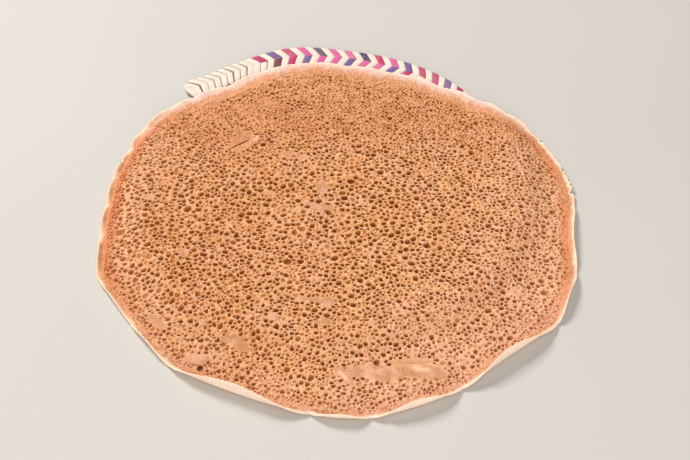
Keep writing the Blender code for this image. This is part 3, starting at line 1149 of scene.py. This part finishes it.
under_points = np.concatenate([under_inner, bread_under(*under_inner.T)[:, None]], 1)
print(len(under_faces), "triangles in the underside")

# %% [markdown]
# The whole sheet is now one set of points and triangles. It is too large for one piece, so
# it is cut along the crests of its webs into a heart, four rings round it, and the lips
# with the underside. The cuts mustn't show, so the normals are worked out once, on the
# whole sheet, and given to every piece.
#
# Each point also carries nine measures for the finish: how hollow it lies, how narrow its
# web is, how far in from the edge it is, whether it belongs to the underside, how far it
# faces the front or the back, how spongy and how bald the crumb is, and whether it stands
# up as a ridge.

# %% One sheet
UNDER_INWARD = 60 * MM  # the underside counts as far from the edge
SPONGY_VIGOUR = 0.5  # or less where the crumb is all fine bubbles
SPONGY_FADE = 0.35
RIDGE_FULL = 1.1 * MM

all_points = np.concatenate([points, *rings, under_points])
all_x, all_y = all_points[:, 0], all_points[:, 1]
all_angle = np.arctan2(all_y, all_x)
x, y = points[:, 0], points[:, 1]
inward = np.concatenate([
    inward_of_foot(x, y) + bread_span(np.arctan2(y, x))[1],
    *ring_inward,
    np.full(len(under_points), UNDER_INWARD),
])
under_side = np.concatenate([
    np.zeros(len(points)), *[np.full(around, share) for share in ring_under],
    np.ones(len(under_points)),
])
later = len(all_points) - len(points)
measures = {
    "hollow": np.concatenate([hollow, np.zeros(later)]),
    "pale_and_highlit_web": np.concatenate([*pale_and_highlit_web, np.zeros(later)]),
    "inward": inward,
    "underside": under_side,
    "frontward": frontness(all_angle),
    "backward": backness(all_angle),
    "spongy": 1 - ease((vigour(all_x, all_y) - SPONGY_VIGOUR) / SPONGY_FADE),
    "bald": smoothness(all_x, all_y) * (1 - under_side),
    "raised": ease(mark_height(all_x, all_y) / RIDGE_FULL) * (1 - under_side),
}
all_faces = np.concatenate([eyed_faces, lip_faces, under_faces])
print(len(all_points), "points and", len(all_faces), "triangles, with", len(measures), "measures")

# %% The sheet's place
own_low = all_points.min(axis=0)
own_high = all_points.max(axis=0)
box_low, box_high = (np.array(corner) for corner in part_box("injera"))
bread_place = (box_low + box_high) / 2 - (own_low + own_high) / 2
bread_place[2] = 0.0
print("bread's centre at", [round(float(v) / MM, 2) for v in bread_place], "mm")
print("height", round(float(own_high[2]) / MM, 2), "mm, solid", round(float(box_high[2]) / MM, 2), "mm")

# %% Shared normals
one, two, three = all_points[all_faces].transpose(1, 0, 2)
face_normals = np.cross(two - one, three - one)
normals = np.zeros_like(all_points)
for k in range(3):
    for axis in range(3):
        normals[:, axis] += np.bincount(all_faces[:, k], face_normals[:, axis], len(all_points))
normals /= np.maximum(np.linalg.norm(normals, axis=1), 1e-12)[:, None]
print("normals for", len(normals), "points")

# %% A piece of the sheet


def add_piece(name, faces, material):
    """One piece of the sheet, with the shared normals and its measures."""
    used, corners = np.unique(faces, return_inverse=True)
    mesh = bpy.data.meshes.new(name)
    mesh.vertices.add(len(used))
    mesh.vertices.foreach_set("co", (all_points[used] + bread_place).astype(np.float32).ravel())
    mesh.loops.add(faces.size)
    mesh.loops.foreach_set("vertex_index", corners.astype(np.int32).ravel())
    mesh.polygons.add(len(faces))
    mesh.polygons.foreach_set("loop_start", np.arange(0, faces.size, 3, dtype=np.int32))
    mesh.update(calc_edges=True)
    for key, values in measures.items():
        layer = mesh.attributes.new(key, "FLOAT", "POINT")
        layer.data.foreach_set("value", values[used].astype(np.float32))
    mesh.shade_smooth()
    mesh.normals_split_custom_set_from_vertices(normals[used])
    mesh.materials.append(material)
    piece = bpy.data.objects.new(name, mesh)
    bpy.context.scene.collection.objects.link(piece)
    return piece


print("each piece carries", ", ".join(measures))

# %% [markdown]
# ## The crumb's finish
#
# Fermented teff or sorghum gives a pinkish tan crumb. The thin webs between the eyes are
# painted paler, a painted highlight where they catch the light, the walls and floors of
# the eyes are painted browner and darker with depth, their brown and painted shade
# together, and the edge fades from peach to a pale, almost clear rim. The side that lay on
# the griddle is a smooth cream. One finish covers them all, and the measures in the mesh
# say where each tone belongs.

# %% The crumb's measures and noises
crumb = Finish("injera_crumb")
frontward_at = crumb.measure("frontward")
backward_at = crumb.measure("backward")
spongy_at = crumb.measure("spongy")
bald_at = crumb.measure("bald")
raised_at = crumb.measure("raised")
hollow_at = crumb.measure("hollow")
pale_and_highlit_web_at = crumb.measure("pale_and_highlit_web")
inward_at = crumb.measure("inward")
underside_at = crumb.measure("underside")

wobble = crumb.noise(0.012, 2.0) - 0.5
edge_in = inward_at + wobble * 0.005  # how far in from the edge, with an uneven border
cloud = crumb.ramp(crumb.noise(0.040, 3.0), 0.35, 0.65)
mottle = crumb.ramp(crumb.noise(0.006, 4.0), 0.38, 0.62)
veil = crumb.ramp(crumb.noise(0.014, 3.0), 0.42, 0.62)
print("crumb noises 6, 12, 14 and 40 mm across")

# %% From the plateau down into the eyes
PLATEAU_TONES = (colour(222, 160, 116), colour(216, 153, 99))
WEB_PALE_AND_HIGHLIGHT_TONES = (colour(255, 210, 170), colour(255, 205, 154))
WALL_TONES = (colour(204, 128, 64), colour(198, 121, 50))
EYE_FLOOR_BROWN_AND_SHADE_TONES = (colour(128, 62, 6), colour(150, 80, 12))
EYE_PAINTED_SHADE = colour(46, 20, 6)

plateau = crumb.layers(
    crumb.mix(cloud, *PLATEAU_TONES),
    (mottle * 0.5, colour(200, 134, 86)),
    (bald_at * veil * 0.6, colour(230, 176, 152)),  # a dry veil over the smooth patches
    (bald_at * (1.0 - veil) * 0.6, colour(186, 130, 94)),
    (spongy_at * 0.52, colour(217, 146, 99)),
)
tone = crumb.layers(
    plateau,
    # webs and rims painted paler: a painted highlight where the thin webs catch the light
    (pale_and_highlit_web_at * (1.0 - 0.50 * spongy_at), crumb.mix(cloud, *WEB_PALE_AND_HIGHLIGHT_TONES)),
    # painted browner and darker with depth: the eyes' own brown and painted shade in the hollows
    (crumb.ramp(hollow_at, 0.0, 0.35), crumb.mix(cloud, *WALL_TONES)),
    (crumb.ramp(hollow_at, 0.30, 0.92), crumb.mix(mottle, *EYE_FLOOR_BROWN_AND_SHADE_TONES)),
    (crumb.ramp(hollow_at, 1.0, 1.7), EYE_PAINTED_SHADE),
    (raised_at * 0.8, colour(246, 201, 166)),  # ridges painted paler, a painted highlight on their tops
)
print("crumb tones mixed")

# %% Browner at the left, paler at the front right
crumb_x = crumb.add("ShaderNodeSeparateXYZ", None, {0: crumb.place()}, "X")
crumb_y = crumb.add("ShaderNodeSeparateXYZ", None, {0: crumb.place()}, "Y")
paler = crumb.ramp(0.75 * crumb_x - 0.65 * crumb_y, 0.03, 0.27)
browner = crumb.ramp(crumb_x, 0.05, -0.15) * crumb.ramp(crumb_y, 0.24, 0.08)
shallow = 1.0 - 0.8 * hollow_at.maths("MINIMUM", 1.0)  # 1 up on the webs, 0.2 down in the eyes
open_crumb = shallow * (1.0 - 0.7 * bald_at)
tone = crumb.layers(
    tone,
    (paler * open_crumb * 0.34, colour(243, 192, 162)),
    (browner * 0.15, colour(204, 124, 62)),
)
print("and browned unevenly")

# %% [markdown]
# Towards the edge the sheet is thinner and baked faster. At the sides and the back a
# reddish band comes first, then peach. At the front the same width is pink.

# %% Bands along the edge
sideward = 1.0 - frontward_at
leftward = crumb.ramp(crumb_x, -0.12, -0.20)
outskirts = crumb.ramp(edge_in, 64 * MM, 34 * MM) * crumb.ramp(edge_in, 10 * MM, 26 * MM)
reddish = crumb.ramp(edge_in, 22 * MM, 14 * MM) * crumb.ramp(edge_in, 3 * MM, 9 * MM)
peach = crumb.ramp(edge_in - 10 * MM * backward_at, 13 * MM, 6 * MM)
pink = crumb.ramp(edge_in, 26 * MM, 8 * MM)
PEACH_TONES = (colour(221, 150, 108), colour(233, 172, 133))  # at the sides, at the back
tone = crumb.layers(
    tone,
    (outskirts * (1.0 - backward_at) * open_crumb * 0.18, colour(246, 194, 158)),
    (reddish * sideward * (0.50 + 0.22 * leftward), colour(212, 121, 68)),
    (peach * sideward * 0.60, crumb.mix(backward_at, *PEACH_TONES)),
    (pink * frontward_at * shallow * 0.48, colour(230, 165, 134)),
)
print("edge bands laid")

# %% Pinholes


def spotted(cell, radius):
    """Round spots, at most one in each cell of a Voronoi pattern: 1 inside, 0 outside.

    The radius is a function of a random number, and both are shares of the cell.
    """
    spots = crumb.tree.nodes.new("ShaderNodeTexVoronoi")
    crumb.put(spots.inputs["Vector"], crumb.place())
    crumb.put(spots.inputs["Scale"], 1 / cell)
    picked = crumb.add("ShaderNodeSeparateColor", None, {0: Wire(crumb, spots.outputs["Color"])})
    return crumb.ramp(Wire(crumb, spots.outputs["Distance"]) - radius(picked), 0.10, -0.02)


# Bubbles too small to be modelled, painted as dark spots: their brown and the shade inside
# them. They crowd near the edge and in the spongy crumb.
inside = crumb.ramp(edge_in, 1.4 * MM, 3.0 * MM) * crumb.ramp(hollow_at, 0.12, 0.0)
crowd = crumb.ramp(edge_in, 24 * MM, 12 * MM).maths("MAXIMUM", spongy_at * 0.9)
fine_holes = spotted(
    2.2 * MM, lambda pick: 0.28 * (pick - 0.25).maths("MAXIMUM", 0.0) + 0.16 * crowd
)
rim_crowd = crumb.ramp(edge_in, 19 * MM, 11 * MM) * (0.45 + 0.55 * frontward_at)
rim_crowd = rim_crowd * (1.0 - 0.6 * backward_at)
rim_holes = spotted(3.1 * MM, lambda pick: (0.30 * pick + 0.14) * rim_crowd - 0.06)
pinhole = (fine_holes * 0.8).maths("MAXIMUM", rim_holes) * inside
tone = crumb.mix(pinhole * 0.85, tone, colour(166, 98, 52))
print("pinholes of 1 mm and less")

# %% The pale rim and the underside
PALE_TONES = (colour(248, 208, 180), colour(255, 204, 160))  # elsewhere, at the left
GRIDDLE_TONES = (colour(254, 220, 194), colour(255, 232, 212))
thin = crumb.ramp(edge_in + wobble * 0.012, 16 * MM, 5 * MM) * backward_at
tone = crumb.layers(
    tone,
    (crumb.ramp(edge_in, 5.0 * MM, 1.5 * MM) * 0.75, crumb.mix(leftward, *PALE_TONES)),
    (thin * 0.62, colour(240, 215, 205)),
    (crumb.ramp(edge_in, 2.0 * MM, 0.3 * MM) * 0.85, colour(252, 224, 198)),
    (crumb.ramp(underside_at, 0.2, 0.8), crumb.mix(crumb.noise(0.02, 4.0), *GRIDDLE_TONES)),
)
crumb.set("Base Color", tone)
print("rim and underside paled")

# %% The crumb's shine and grain
crumb.set("Roughness", 0.62 + 0.15 * hollow_at)
crumb.set("Specular IOR Level", 0.25)
fine_bump = crumb.bump(crumb.noise(0.0012, 3.0), 0.3 * MM, 0.6)
dimple_bump = crumb.bump(crumb.noise(0.0042, 2.0), 1.2 * MM, 0.55, fine_bump)
crumb.set("Normal", crumb.bump(1.0 - pinhole, 0.5 * MM, 0.8, dimple_bump))
print("crumb finish has", len(crumb.tree.nodes), "nodes")

# %% The pieces of the sheet
PIECE_MOST = 190000
SHEET_NAMES = ["injera_heart", "injera_middle", "injera_shoulder", "injera_border", "injera_outer"]
eyed_radius = np.hypot(*places[eyed_owner].T)
order = np.argsort(eyed_radius)
parts = math.ceil(len(order) / PIECE_MOST)
limits = [eyed_radius[order[len(order) * part // parts]] for part in range(parts)] + [1.0]
sheet_pieces = []
for name, low, high in zip(SHEET_NAMES, limits, limits[1:]):
    mine = (eyed_radius >= low) & (eyed_radius < high)
    sheet_pieces.append(add_piece(name, eyed_faces[mine], crumb.material))
    print(name, int(mine.sum()), "triangles, out to", round(min(high, 0.25) / MM), "mm")
smooth_faces = np.concatenate([lip_faces, under_faces])
sheet_pieces.append(add_piece("injera_lips_and_underside", smooth_faces, crumb.material))

# %% [markdown]
# ## The straw's finish
#
# Dried palm leaf is smooth and a little shiny, with fine fibres that run along each
# strand. The dye takes unevenly, so each strand has a tone of its own.

# %% The straw
straw = Finish("plaited_straw")
dye_at = straw.measure("dye", "Color")
tone_at = straw.measure("straw_tone")
fibre_at = straw.measure("fibre", "Vector")
stretch = straw.add("ShaderNodeVectorMath", {"operation": "MULTIPLY"},
                    {0: fibre_at, 1: (1.0, 0.06, 1.0)}, "Vector")
shifted = straw.add("ShaderNodeCombineXYZ", None, {"X": tone_at * 9.0, "Y": tone_at * 5.0, "Z": 0.0})
fibre_place = straw.add("ShaderNodeVectorMath", None, {0: stretch, 1: shifted}, "Vector")
fibres = straw.noise(0.055, 3.0, at=fibre_place)
worn = straw.noise(0.006, 3.0)
from_middle = straw.add("ShaderNodeSeparateXYZ", None, {0: fibre_at}, "X").maths("ABSOLUTE")
straw_colour = straw.layers(
    dye_at,
    (straw.ramp(tone_at, 0.0, 1.0) * 0.13, colour(222, 196, 164)),  # some strands are duller
    (straw.ramp(fibres, 0.50, 0.75) * 0.22, colour(150, 112, 84)),
    (straw.ramp(worn, 0.50, 0.75) * 0.10, colour(250, 238, 222)),
    (straw.ramp(from_middle, 0.25, 0.36) * 0.5, colour(128, 92, 76)),  # shade down the sides
)
straw.set("Base Color", straw_colour)
straw.set("Roughness", 0.52 + 0.2 * fibres)
straw.set("Normal", straw.bump(fibres, 0.12 * MM, 0.5))
print("straw finish has", len(straw.tree.nodes), "nodes")

# %% [markdown]
# ## The plait
#
# The plate is one long flat plait of split palm leaf, wound round and round and sewn to
# itself. Each strand comes in from the outer edge, bends back at a line of chevron tips
# and runs to the inner edge, where the next turn hides its end. The strand is one small
# shape that repeats more than two thousand times, which is work for Geometry Nodes: we
# plait the strip flat and straight there, on a row of stations. Winding it afterwards is
# plain arithmetic, and uses the same outline that the bread lies over.

# %% The strip's measures
STRAND_PITCH = 9.4 * MM  # along the strip
TIP_ACROSS = 13.0 * MM  # from the outer edge to the line of the tips
OUTER_SLANT = 0.78  # how far an outer arm runs along for each step across
INNER_SLANT = 0.50  # and how far an inner arm runs back
ARM_OVERLAP = 0.7 * MM  # of an inner arm under its outer one
STRAND_DOME = 0.35 * MM
STRAND_SIDE = 1.4 * MM  # twice as deep as the sides reach
PLATE_TURNS = 7
STRAW_SEED = 3


def length_to_back(length):
    """The angle back from the free end, at a length along the strip's outer edge."""
    inner = np.clip(PLATE_RADIUS**2 - PLATE_PITCH * length / math.pi, 0.0, None)
    return (PLATE_RADIUS - np.sqrt(inner)) * 2 * math.pi / PLATE_PITCH


def back_to_length(back):
    """The length along the strip's outer edge, at an angle back from the free end."""
    return PLATE_RADIUS * back - PLATE_PITCH * back**2 / (4 * math.pi)


strip_length = back_to_length(2 * math.pi * PLATE_TURNS)
strand_count = round(strip_length / STRAND_PITCH)
print("a strip of", round(strip_length, 2), "m with", strand_count, "strands")

# %% [markdown]
# The strands are undyed, but for a stretch that shows at the back: there every second one
# is dyed. The two arms of a chevron are different strands, so they may differ in colour.

# %% The dyes
CREAM = colour(236, 223, 208)
MAGENTA = colour(190, 26, 98)
PINK = colour(216, 78, 150)
PURPLE = colour(104, 66, 146)
DARK_PURPLE = colour(72, 40, 100)
DARK_RED = colour(120, 24, 46)
FIRST_DYED_TIP = 108.6 * MM  # along the strip
DYED_PAIRS = [
    (MAGENTA, CREAM), (PURPLE, DARK_RED), (MAGENTA, MAGENTA), (PINK, PURPLE),
    (DARK_PURPLE, PINK), (PINK, PINK), (PINK, PURPLE), (DARK_PURPLE, PINK),
    (MAGENTA, PINK), (PINK, PURPLE), (PURPLE, MAGENTA), (MAGENTA, CREAM),
    (MAGENTA, PINK), (PURPLE, CREAM), (MAGENTA, PINK),
]  # the outer arm's dye and the inner arm's, from the free end on

print(len(DYED_PAIRS), "dyed chevrons from", round(FIRST_DYED_TIP / MM), "mm on")

# %% The strands' stations
SNUG = (0.985, 0.015)  # the strands' width against their pitch, and how much it varies
SNUG_AT_END = (0.93, 0.05)  # looser between the free end and the first dyed strand
SNUG_LEAST = 0.84

tip_offset = FIRST_DYED_TIP - OUTER_SLANT * TIP_ACROSS
first_dyed = round(tip_offset / STRAND_PITCH)
station_along = tip_offset + np.arange(-first_dyed - 1, strand_count + 2) * STRAND_PITCH
outer_dye = np.tile(CREAM, (len(station_along), 1))
inner_dye = outer_dye.copy()
for pair, (outer, inner) in enumerate(DYED_PAIRS):
    outer_dye[first_dyed + 1 + 2 * pair] = outer
    inner_dye[first_dyed + 1 + 2 * pair] = inner
near_end = (station_along < FIRST_DYED_TIP)[:, None]
width, spread = np.where(near_end, SNUG_AT_END, SNUG).T
snug = width + spread * np.random.default_rng(STRAW_SEED).normal(0, 1, len(width))
snug = np.clip(snug, SNUG_LEAST, 1.0)

stations_mesh = bpy.data.meshes.new("strand_stations")
stations_mesh.from_pydata([(along, 0, 0) for along in station_along], [], [])
for key, values in (("outer_dye", outer_dye), ("inner_dye", inner_dye)):
    layer = stations_mesh.attributes.new(key, "FLOAT_COLOR", "POINT")
    layer.data.foreach_set("color", values.ravel())
snug_layer = stations_mesh.attributes.new("snug", "FLOAT", "POINT")
snug_layer.data.foreach_set("value", snug)
strip = bpy.data.objects.new("plaited_strip", stations_mesh)
bpy.context.scene.collection.objects.link(strip)
print(len(station_along), "stations")

# %% A tree of geometry nodes


class Plan(Nodes):
    """A tree of geometry nodes with named inputs."""

    def __init__(self, name):
        super().__init__(bpy.data.node_groups.new(name, "GeometryNodeTree"))
        self.settings = {}
        self.tree.interface.new_socket("Geometry", in_out="OUTPUT", socket_type="NodeSocketGeometry")
        self.tree.interface.new_socket("Geometry", in_out="INPUT", socket_type="NodeSocketGeometry")
        self.inputs = self.tree.nodes.new("NodeGroupInput")
        self.stations = Wire(self, self.inputs.outputs["Geometry"])

    def size(self, name, value):
        """A named input of the tree, and the value that the modifier will give it."""
        socket = self.tree.interface.new_socket(name, in_out="INPUT", socket_type="NodeSocketFloat")
        self.settings[socket.identifier] = value
        return Wire(self, self.inputs.outputs[name])

    def join(self, *parts):
        """Several geometries as one."""
        node = self.tree.nodes.new("GeometryNodeJoinGeometry")
        for part in parts:
            self.put(node.inputs["Geometry"], part)
        return Wire(self, node.outputs["Geometry"])

    def finish(self, geometry):
        """Ends the tree."""
        out = self.tree.nodes.new("NodeGroupOutput")
        self.put(out.inputs["Geometry"], geometry)

    def run_on(self, thing):
        """Adds the tree to an object, turns its result into a plain mesh and goes away."""
        modifier = thing.modifiers.new(self.tree.name, "NODES")
        modifier.node_group = self.tree
        for identifier, value in self.settings.items():
            modifier[identifier] = value
        graph = bpy.context.evaluated_depsgraph_get()
        graph.update()
        made = bpy.data.meshes.new_from_object(thing.evaluated_get(graph))
        thing.modifiers.remove(modifier)
        thing.data = made
        return made


print("ready to plait")

# %% The plait's named sizes
plait = Plan("flat_plait")
pitch = plait.size("Strand pitch", STRAND_PITCH)
tip_across = plait.size("Tip across", TIP_ACROSS)
outer_slant = plait.size("Outer slant", OUTER_SLANT)
inner_slant = plait.size("Inner slant", INNER_SLANT)
half_thick = plait.size("Half thickness", STRIP_THICKNESS / 2)
strip_width = plait.size("Strip width", PLATE_PITCH)
dome = plait.size("Dome", STRAND_DOME)
overlap = plait.size("Overlap", ARM_OVERLAP)
side_drop = plait.size("Side drop", STRAND_SIDE)
print(len(plait.settings), "named sizes")

# %% [markdown]
# A strand's two arms are the same flat grid, bent by two formulas. Across it the grid is
# domed, and its last rows turn down as thin sides. Along it the outer arm starts on the
# strip's rounded edge, and the inner one dips under at the tip and again at the seam.

# %% The two arms of a strand
ACROSS_POINTS = 7  # two of them for the strand's thin sides
ALONG_POINTS = 6
DOME_POWER = 2.5
EDGE_POWER = 1.6  # crowds an outer arm's points at the rounded edge
TIP_DIP = 0.0016
TUCK = 0.0004
SEAM_DIP = 0.0055


def ribbon(shape):
    """A flat grid whose points are moved by a formula of its two shares."""
    grid = plait.add("GeometryNodeMeshGrid", None, {"Size X": 1.0, "Size Y": 1.0,
                     "Vertices X": ACROSS_POINTS, "Vertices Y": ALONG_POINTS})
    here = plait.add("GeometryNodeInputPosition")
    side = plait.add("ShaderNodeSeparateXYZ", None, {0: here}, "X")
    down = plait.add("ShaderNodeSeparateXYZ", None, {0: here}, "Y") + 0.5
    kept = plait.add("GeometryNodeStoreNamedAttribute", {"data_type": "FLOAT_VECTOR"},
                     {"Geometry": grid, "Name": "fibre", "Value": here})
    along, across, up = shape(side, down)
    moved = plait.add("ShaderNodeCombineXYZ", None, {"X": along, "Y": across, "Z": up})
    return plait.add("GeometryNodeSetPosition", None, {"Geometry": kept, "Position": moved})


def domed(side, up):
    """Rounds a ribbon off towards its edges, and turns its last points down as sides."""
    wide = side.maths("ABSOLUTE") * 3.0
    on_top = wide.maths("MINIMUM", 1.0)
    sides = (wide - 1.0).maths("MAXIMUM", 0.0)
    return up * (1.0 - (dome * on_top**DOME_POWER + side_drop * sides) / half_thick)


def edge_to_edge(side):
    """Where a point lies across the ribbon: the sides stand straight below its edges."""
    return (side * 1.5).maths("MINIMUM", 0.5).maths("MAXIMUM", -0.5) * pitch


def outer_arm(side, down):
    """From the rounded outer edge to the tip."""
    across = down**EDGE_POWER * (tip_across + overlap)
    lowered = 1.0 - (across / half_thick).maths("MINIMUM", 1.0)
    up = half_thick * (1.0 - lowered * lowered).maths("SQRT")
    dip = (down - 0.86).maths("MAXIMUM", 0.0) * TIP_DIP
    return across * outer_slant + edge_to_edge(side), across, domed(side, up) - dip


def inner_arm(side, down):
    """From under the tip to the seam with the next turn."""
    across = tip_across - overlap + down * (strip_width - tip_across + overlap)
    back = (across - tip_across) * inner_slant
    tucked = (1.0 - down * 6.0).maths("MAXIMUM", 0.0) * TUCK
    seam = (down - 0.80).maths("MAXIMUM", 0.0) * SEAM_DIP
    up = domed(side, half_thick) - tucked - seam
    return tip_across * outer_slant - back + edge_to_edge(side), across, up


arms = {"outer_dye": ribbon(outer_arm), "inner_dye": ribbon(inner_arm)}
print("two arms of", (ACROSS_POINTS - 1) * (ALONG_POINTS - 1), "faces each")

# %% Laying them on the stations
RANDOM_FLOAT = 1  # a Random Value node's output for plain numbers, by its order
laid = []
for seed, (dye, arm) in enumerate(arms.items()):
    width = plait.add("GeometryNodeInputNamedAttribute", {"data_type": "FLOAT"}, {"Name": "snug"})
    scale = plait.add("ShaderNodeCombineXYZ", None, {"X": width, "Y": 1.0, "Z": 1.0})
    placed = plait.add("GeometryNodeInstanceOnPoints", None,
                       {"Points": plait.stations, "Instance": arm, "Scale": scale})
    tint = plait.add("GeometryNodeInputNamedAttribute", {"data_type": "FLOAT_COLOR"}, {"Name": dye})
    dyed = plait.add("GeometryNodeStoreNamedAttribute",
                     {"data_type": "FLOAT_COLOR", "domain": "INSTANCE"},
                     {"Geometry": placed, "Name": "dye", "Value": tint})
    tone = plait.add("FunctionNodeRandomValue", {"data_type": "FLOAT"}, {"Seed": STRAW_SEED + seed},
                     RANDOM_FLOAT)
    laid.append(plait.add("GeometryNodeStoreNamedAttribute",
                          {"data_type": "FLOAT", "domain": "INSTANCE"},
                          {"Geometry": dyed, "Name": "straw_tone", "Value": tone}))
upper_face = plait.add("GeometryNodeRealizeInstances", None, {"Geometry": plait.join(*laid)})
lower_face = plait.add("GeometryNodeTransform", None, {"Geometry": upper_face, "Scale": (1, 1, -1)})
flipped = plait.add("GeometryNodeFlipFaces", None, {"Mesh": upper_face})
both = plait.add("GeometryNodeRealizeInstances", None, {"Geometry": plait.join(flipped, lower_face)})
coated = plait.add("GeometryNodeSetMaterial", None, {"Geometry": both, "Material": straw.material})
plait.finish(coated)
strip_mesh = plait.run_on(strip)
print("the flat plait has", len(strip_mesh.polygons), "faces")

# %% [markdown]
# The flat plait is wound by arithmetic: the length along it gives the angle, the distance
# across it gives the radius, and the rim's lift is added to its height. Winding to the
# right turns the strip over as a mirror does, so it was the upper face that had to be
# flipped. At the free end everything past the cut is dropped and the rest closes round.

# %% The winding
END_ROUND = 2.3 * MM


def wound(flat):
    """Flat strip points (along, across, up) laid round the plate."""
    along, across, up = flat.T
    along = np.clip(along, 0.0, strip_length)
    back = length_to_back(along)
    lap = np.minimum(back, 2 * math.pi)
    on_last = back <= 2 * math.pi
    share = across / PLATE_PITCH
    outer = PLATE_RADIUS - PLATE_PITCH * back / (2 * math.pi)
    radius = outer - across * np.minimum(1.0, outer / PLATE_PITCH)
    radius = radius - np.where(on_last, edge_trim(lap), 0.0) * (1 - share)
    lift = np.where(on_last, rim_lift(across, lap), 0.0)
    closing = np.sqrt(1 - (1 - np.clip(along / END_ROUND, 0.0, 1.0)) ** 2)
    angle = PLATE_END_ANGLE - back
    x = PLATE_CENTRE[0] + radius * np.cos(angle)
    y = PLATE_CENTRE[1] + radius * np.sin(angle)
    return np.stack([x, y, STRIP_THICKNESS / 2 + up * closing + lift], 1) + bread_place


def mesh_points(mesh):
    """A mesh's points as rows of an array."""
    flat = np.zeros(len(mesh.vertices) * 3)
    mesh.vertices.foreach_get("co", flat)
    return flat.reshape(-1, 3)


print("half a turn back is", round(float(back_to_length(math.pi)), 2), "m along the strip")

# %% The strip wound
SHARP_STRAND = math.radians(60)

cutter = bmesh.new()
cutter.from_mesh(strip_mesh)
past = [face for face in cutter.faces
        if all(v.co.x <= 0 for v in face.verts) or all(v.co.x >= strip_length for v in face.verts)]
bmesh.ops.delete(cutter, geom=past, context="FACES")
cutter.to_mesh(strip_mesh)
cutter.free()
strip_mesh.vertices.foreach_set("co", wound(mesh_points(strip_mesh)).ravel())
strip_mesh.shade_smooth()
strip_mesh.set_sharp_from_angle(angle=SHARP_STRAND)
strip_mesh.update()
print("wound", len(strip_mesh.vertices), "points;", len(past), "faces past the ends dropped")

# %% [markdown]
# Between the strands one looks into the strip, so a plain core fills it, coloured dark as
# painted shade for the gaps between the strands. At the free end the strands are folded
# round and sewn shut, so there the core comes up to them, closes round with them and is as
# pale as they are.

# %% The core
CORE_HALF = STRIP_THICKNESS / 2 - 0.65 * MM
CORE_STEP = 5 * MM
CORE_START = np.array([0.0, 0.3, 0.8, 1.4, 2.3, 3.6, 4.6]) * MM  # closer steps at the free end
END_FOLD = 4.0 * MM
END_FULLER = 1.25  # how much fuller the core is there
SHARP_CORE = math.radians(40)

core_steps = np.arange(CORE_STEP, strip_length, CORE_STEP)
core_along = np.concatenate([CORE_START, core_steps, [strip_length]])
core_section = [
    (0.9 * MM, 0.5 * CORE_HALF), (1.8 * MM, CORE_HALF), (PLATE_PITCH, CORE_HALF - 0.3 * MM)
]
core_section += [(across, -up) for across, up in reversed(core_section)]
core_flat = np.array([(along, across, up) for along in core_along for across, up in core_section])
at_end = core_flat[:, 0] < END_FOLD
core_flat[at_end, 2] *= END_FULLER
size = len(core_section)
core_faces = [tuple(range(size)), tuple(reversed(range(len(core_flat) - size, len(core_flat))))]
for step in range(len(core_along) - 1):
    for side in range(size):
        here, there = step * size + side, step * size + (side + 1) % size
        core_faces.append((here, here + size, there + size, there))
core_mesh = bpy.data.meshes.new("straw_core")
core_mesh.from_pydata(wound(core_flat).tolist(), [], core_faces)
core_mesh.shade_smooth()
core_mesh.set_sharp_from_angle(angle=SHARP_CORE)
folded = core_mesh.attributes.new("folded", "FLOAT", "POINT")
folded.data.foreach_set("value", at_end.astype(np.float32))
core = bpy.data.objects.new("straw_core", core_mesh)
bpy.context.scene.collection.objects.link(core)
print("core of", len(core_faces), "faces")

# %% The core's finish
# the core's dark tones are painted shade for the gaps between the strands; its folded end is pale straw
CORE_SHADE_TONES = (colour(112, 74, 58), colour(84, 52, 48))
core_straw = Finish("core_straw")
core_shade_tone = core_straw.mix(core_straw.noise(0.004, 3.0), *CORE_SHADE_TONES)
core_straw.set("Base Color", core_straw.mix(core_straw.measure("folded"), core_shade_tone, CREAM))
core_straw.set("Roughness", 0.8)
core_mesh.materials.append(core_straw.material)
print("core finish has", len(core_straw.tree.nodes), "nodes")

# %% [markdown]
# ## Into the frame
#
# Every piece rides on the part's one body, and the solid that it stands for is hidden.

# %% Riding and replacing
for piece in sheet_pieces:
    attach(piece, "root")
    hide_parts("injera")
for piece in (strip, core):
    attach(piece, "root")
    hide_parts("straw_plate")
print(len(sheet_pieces), "pieces of bread and 2 of straw")
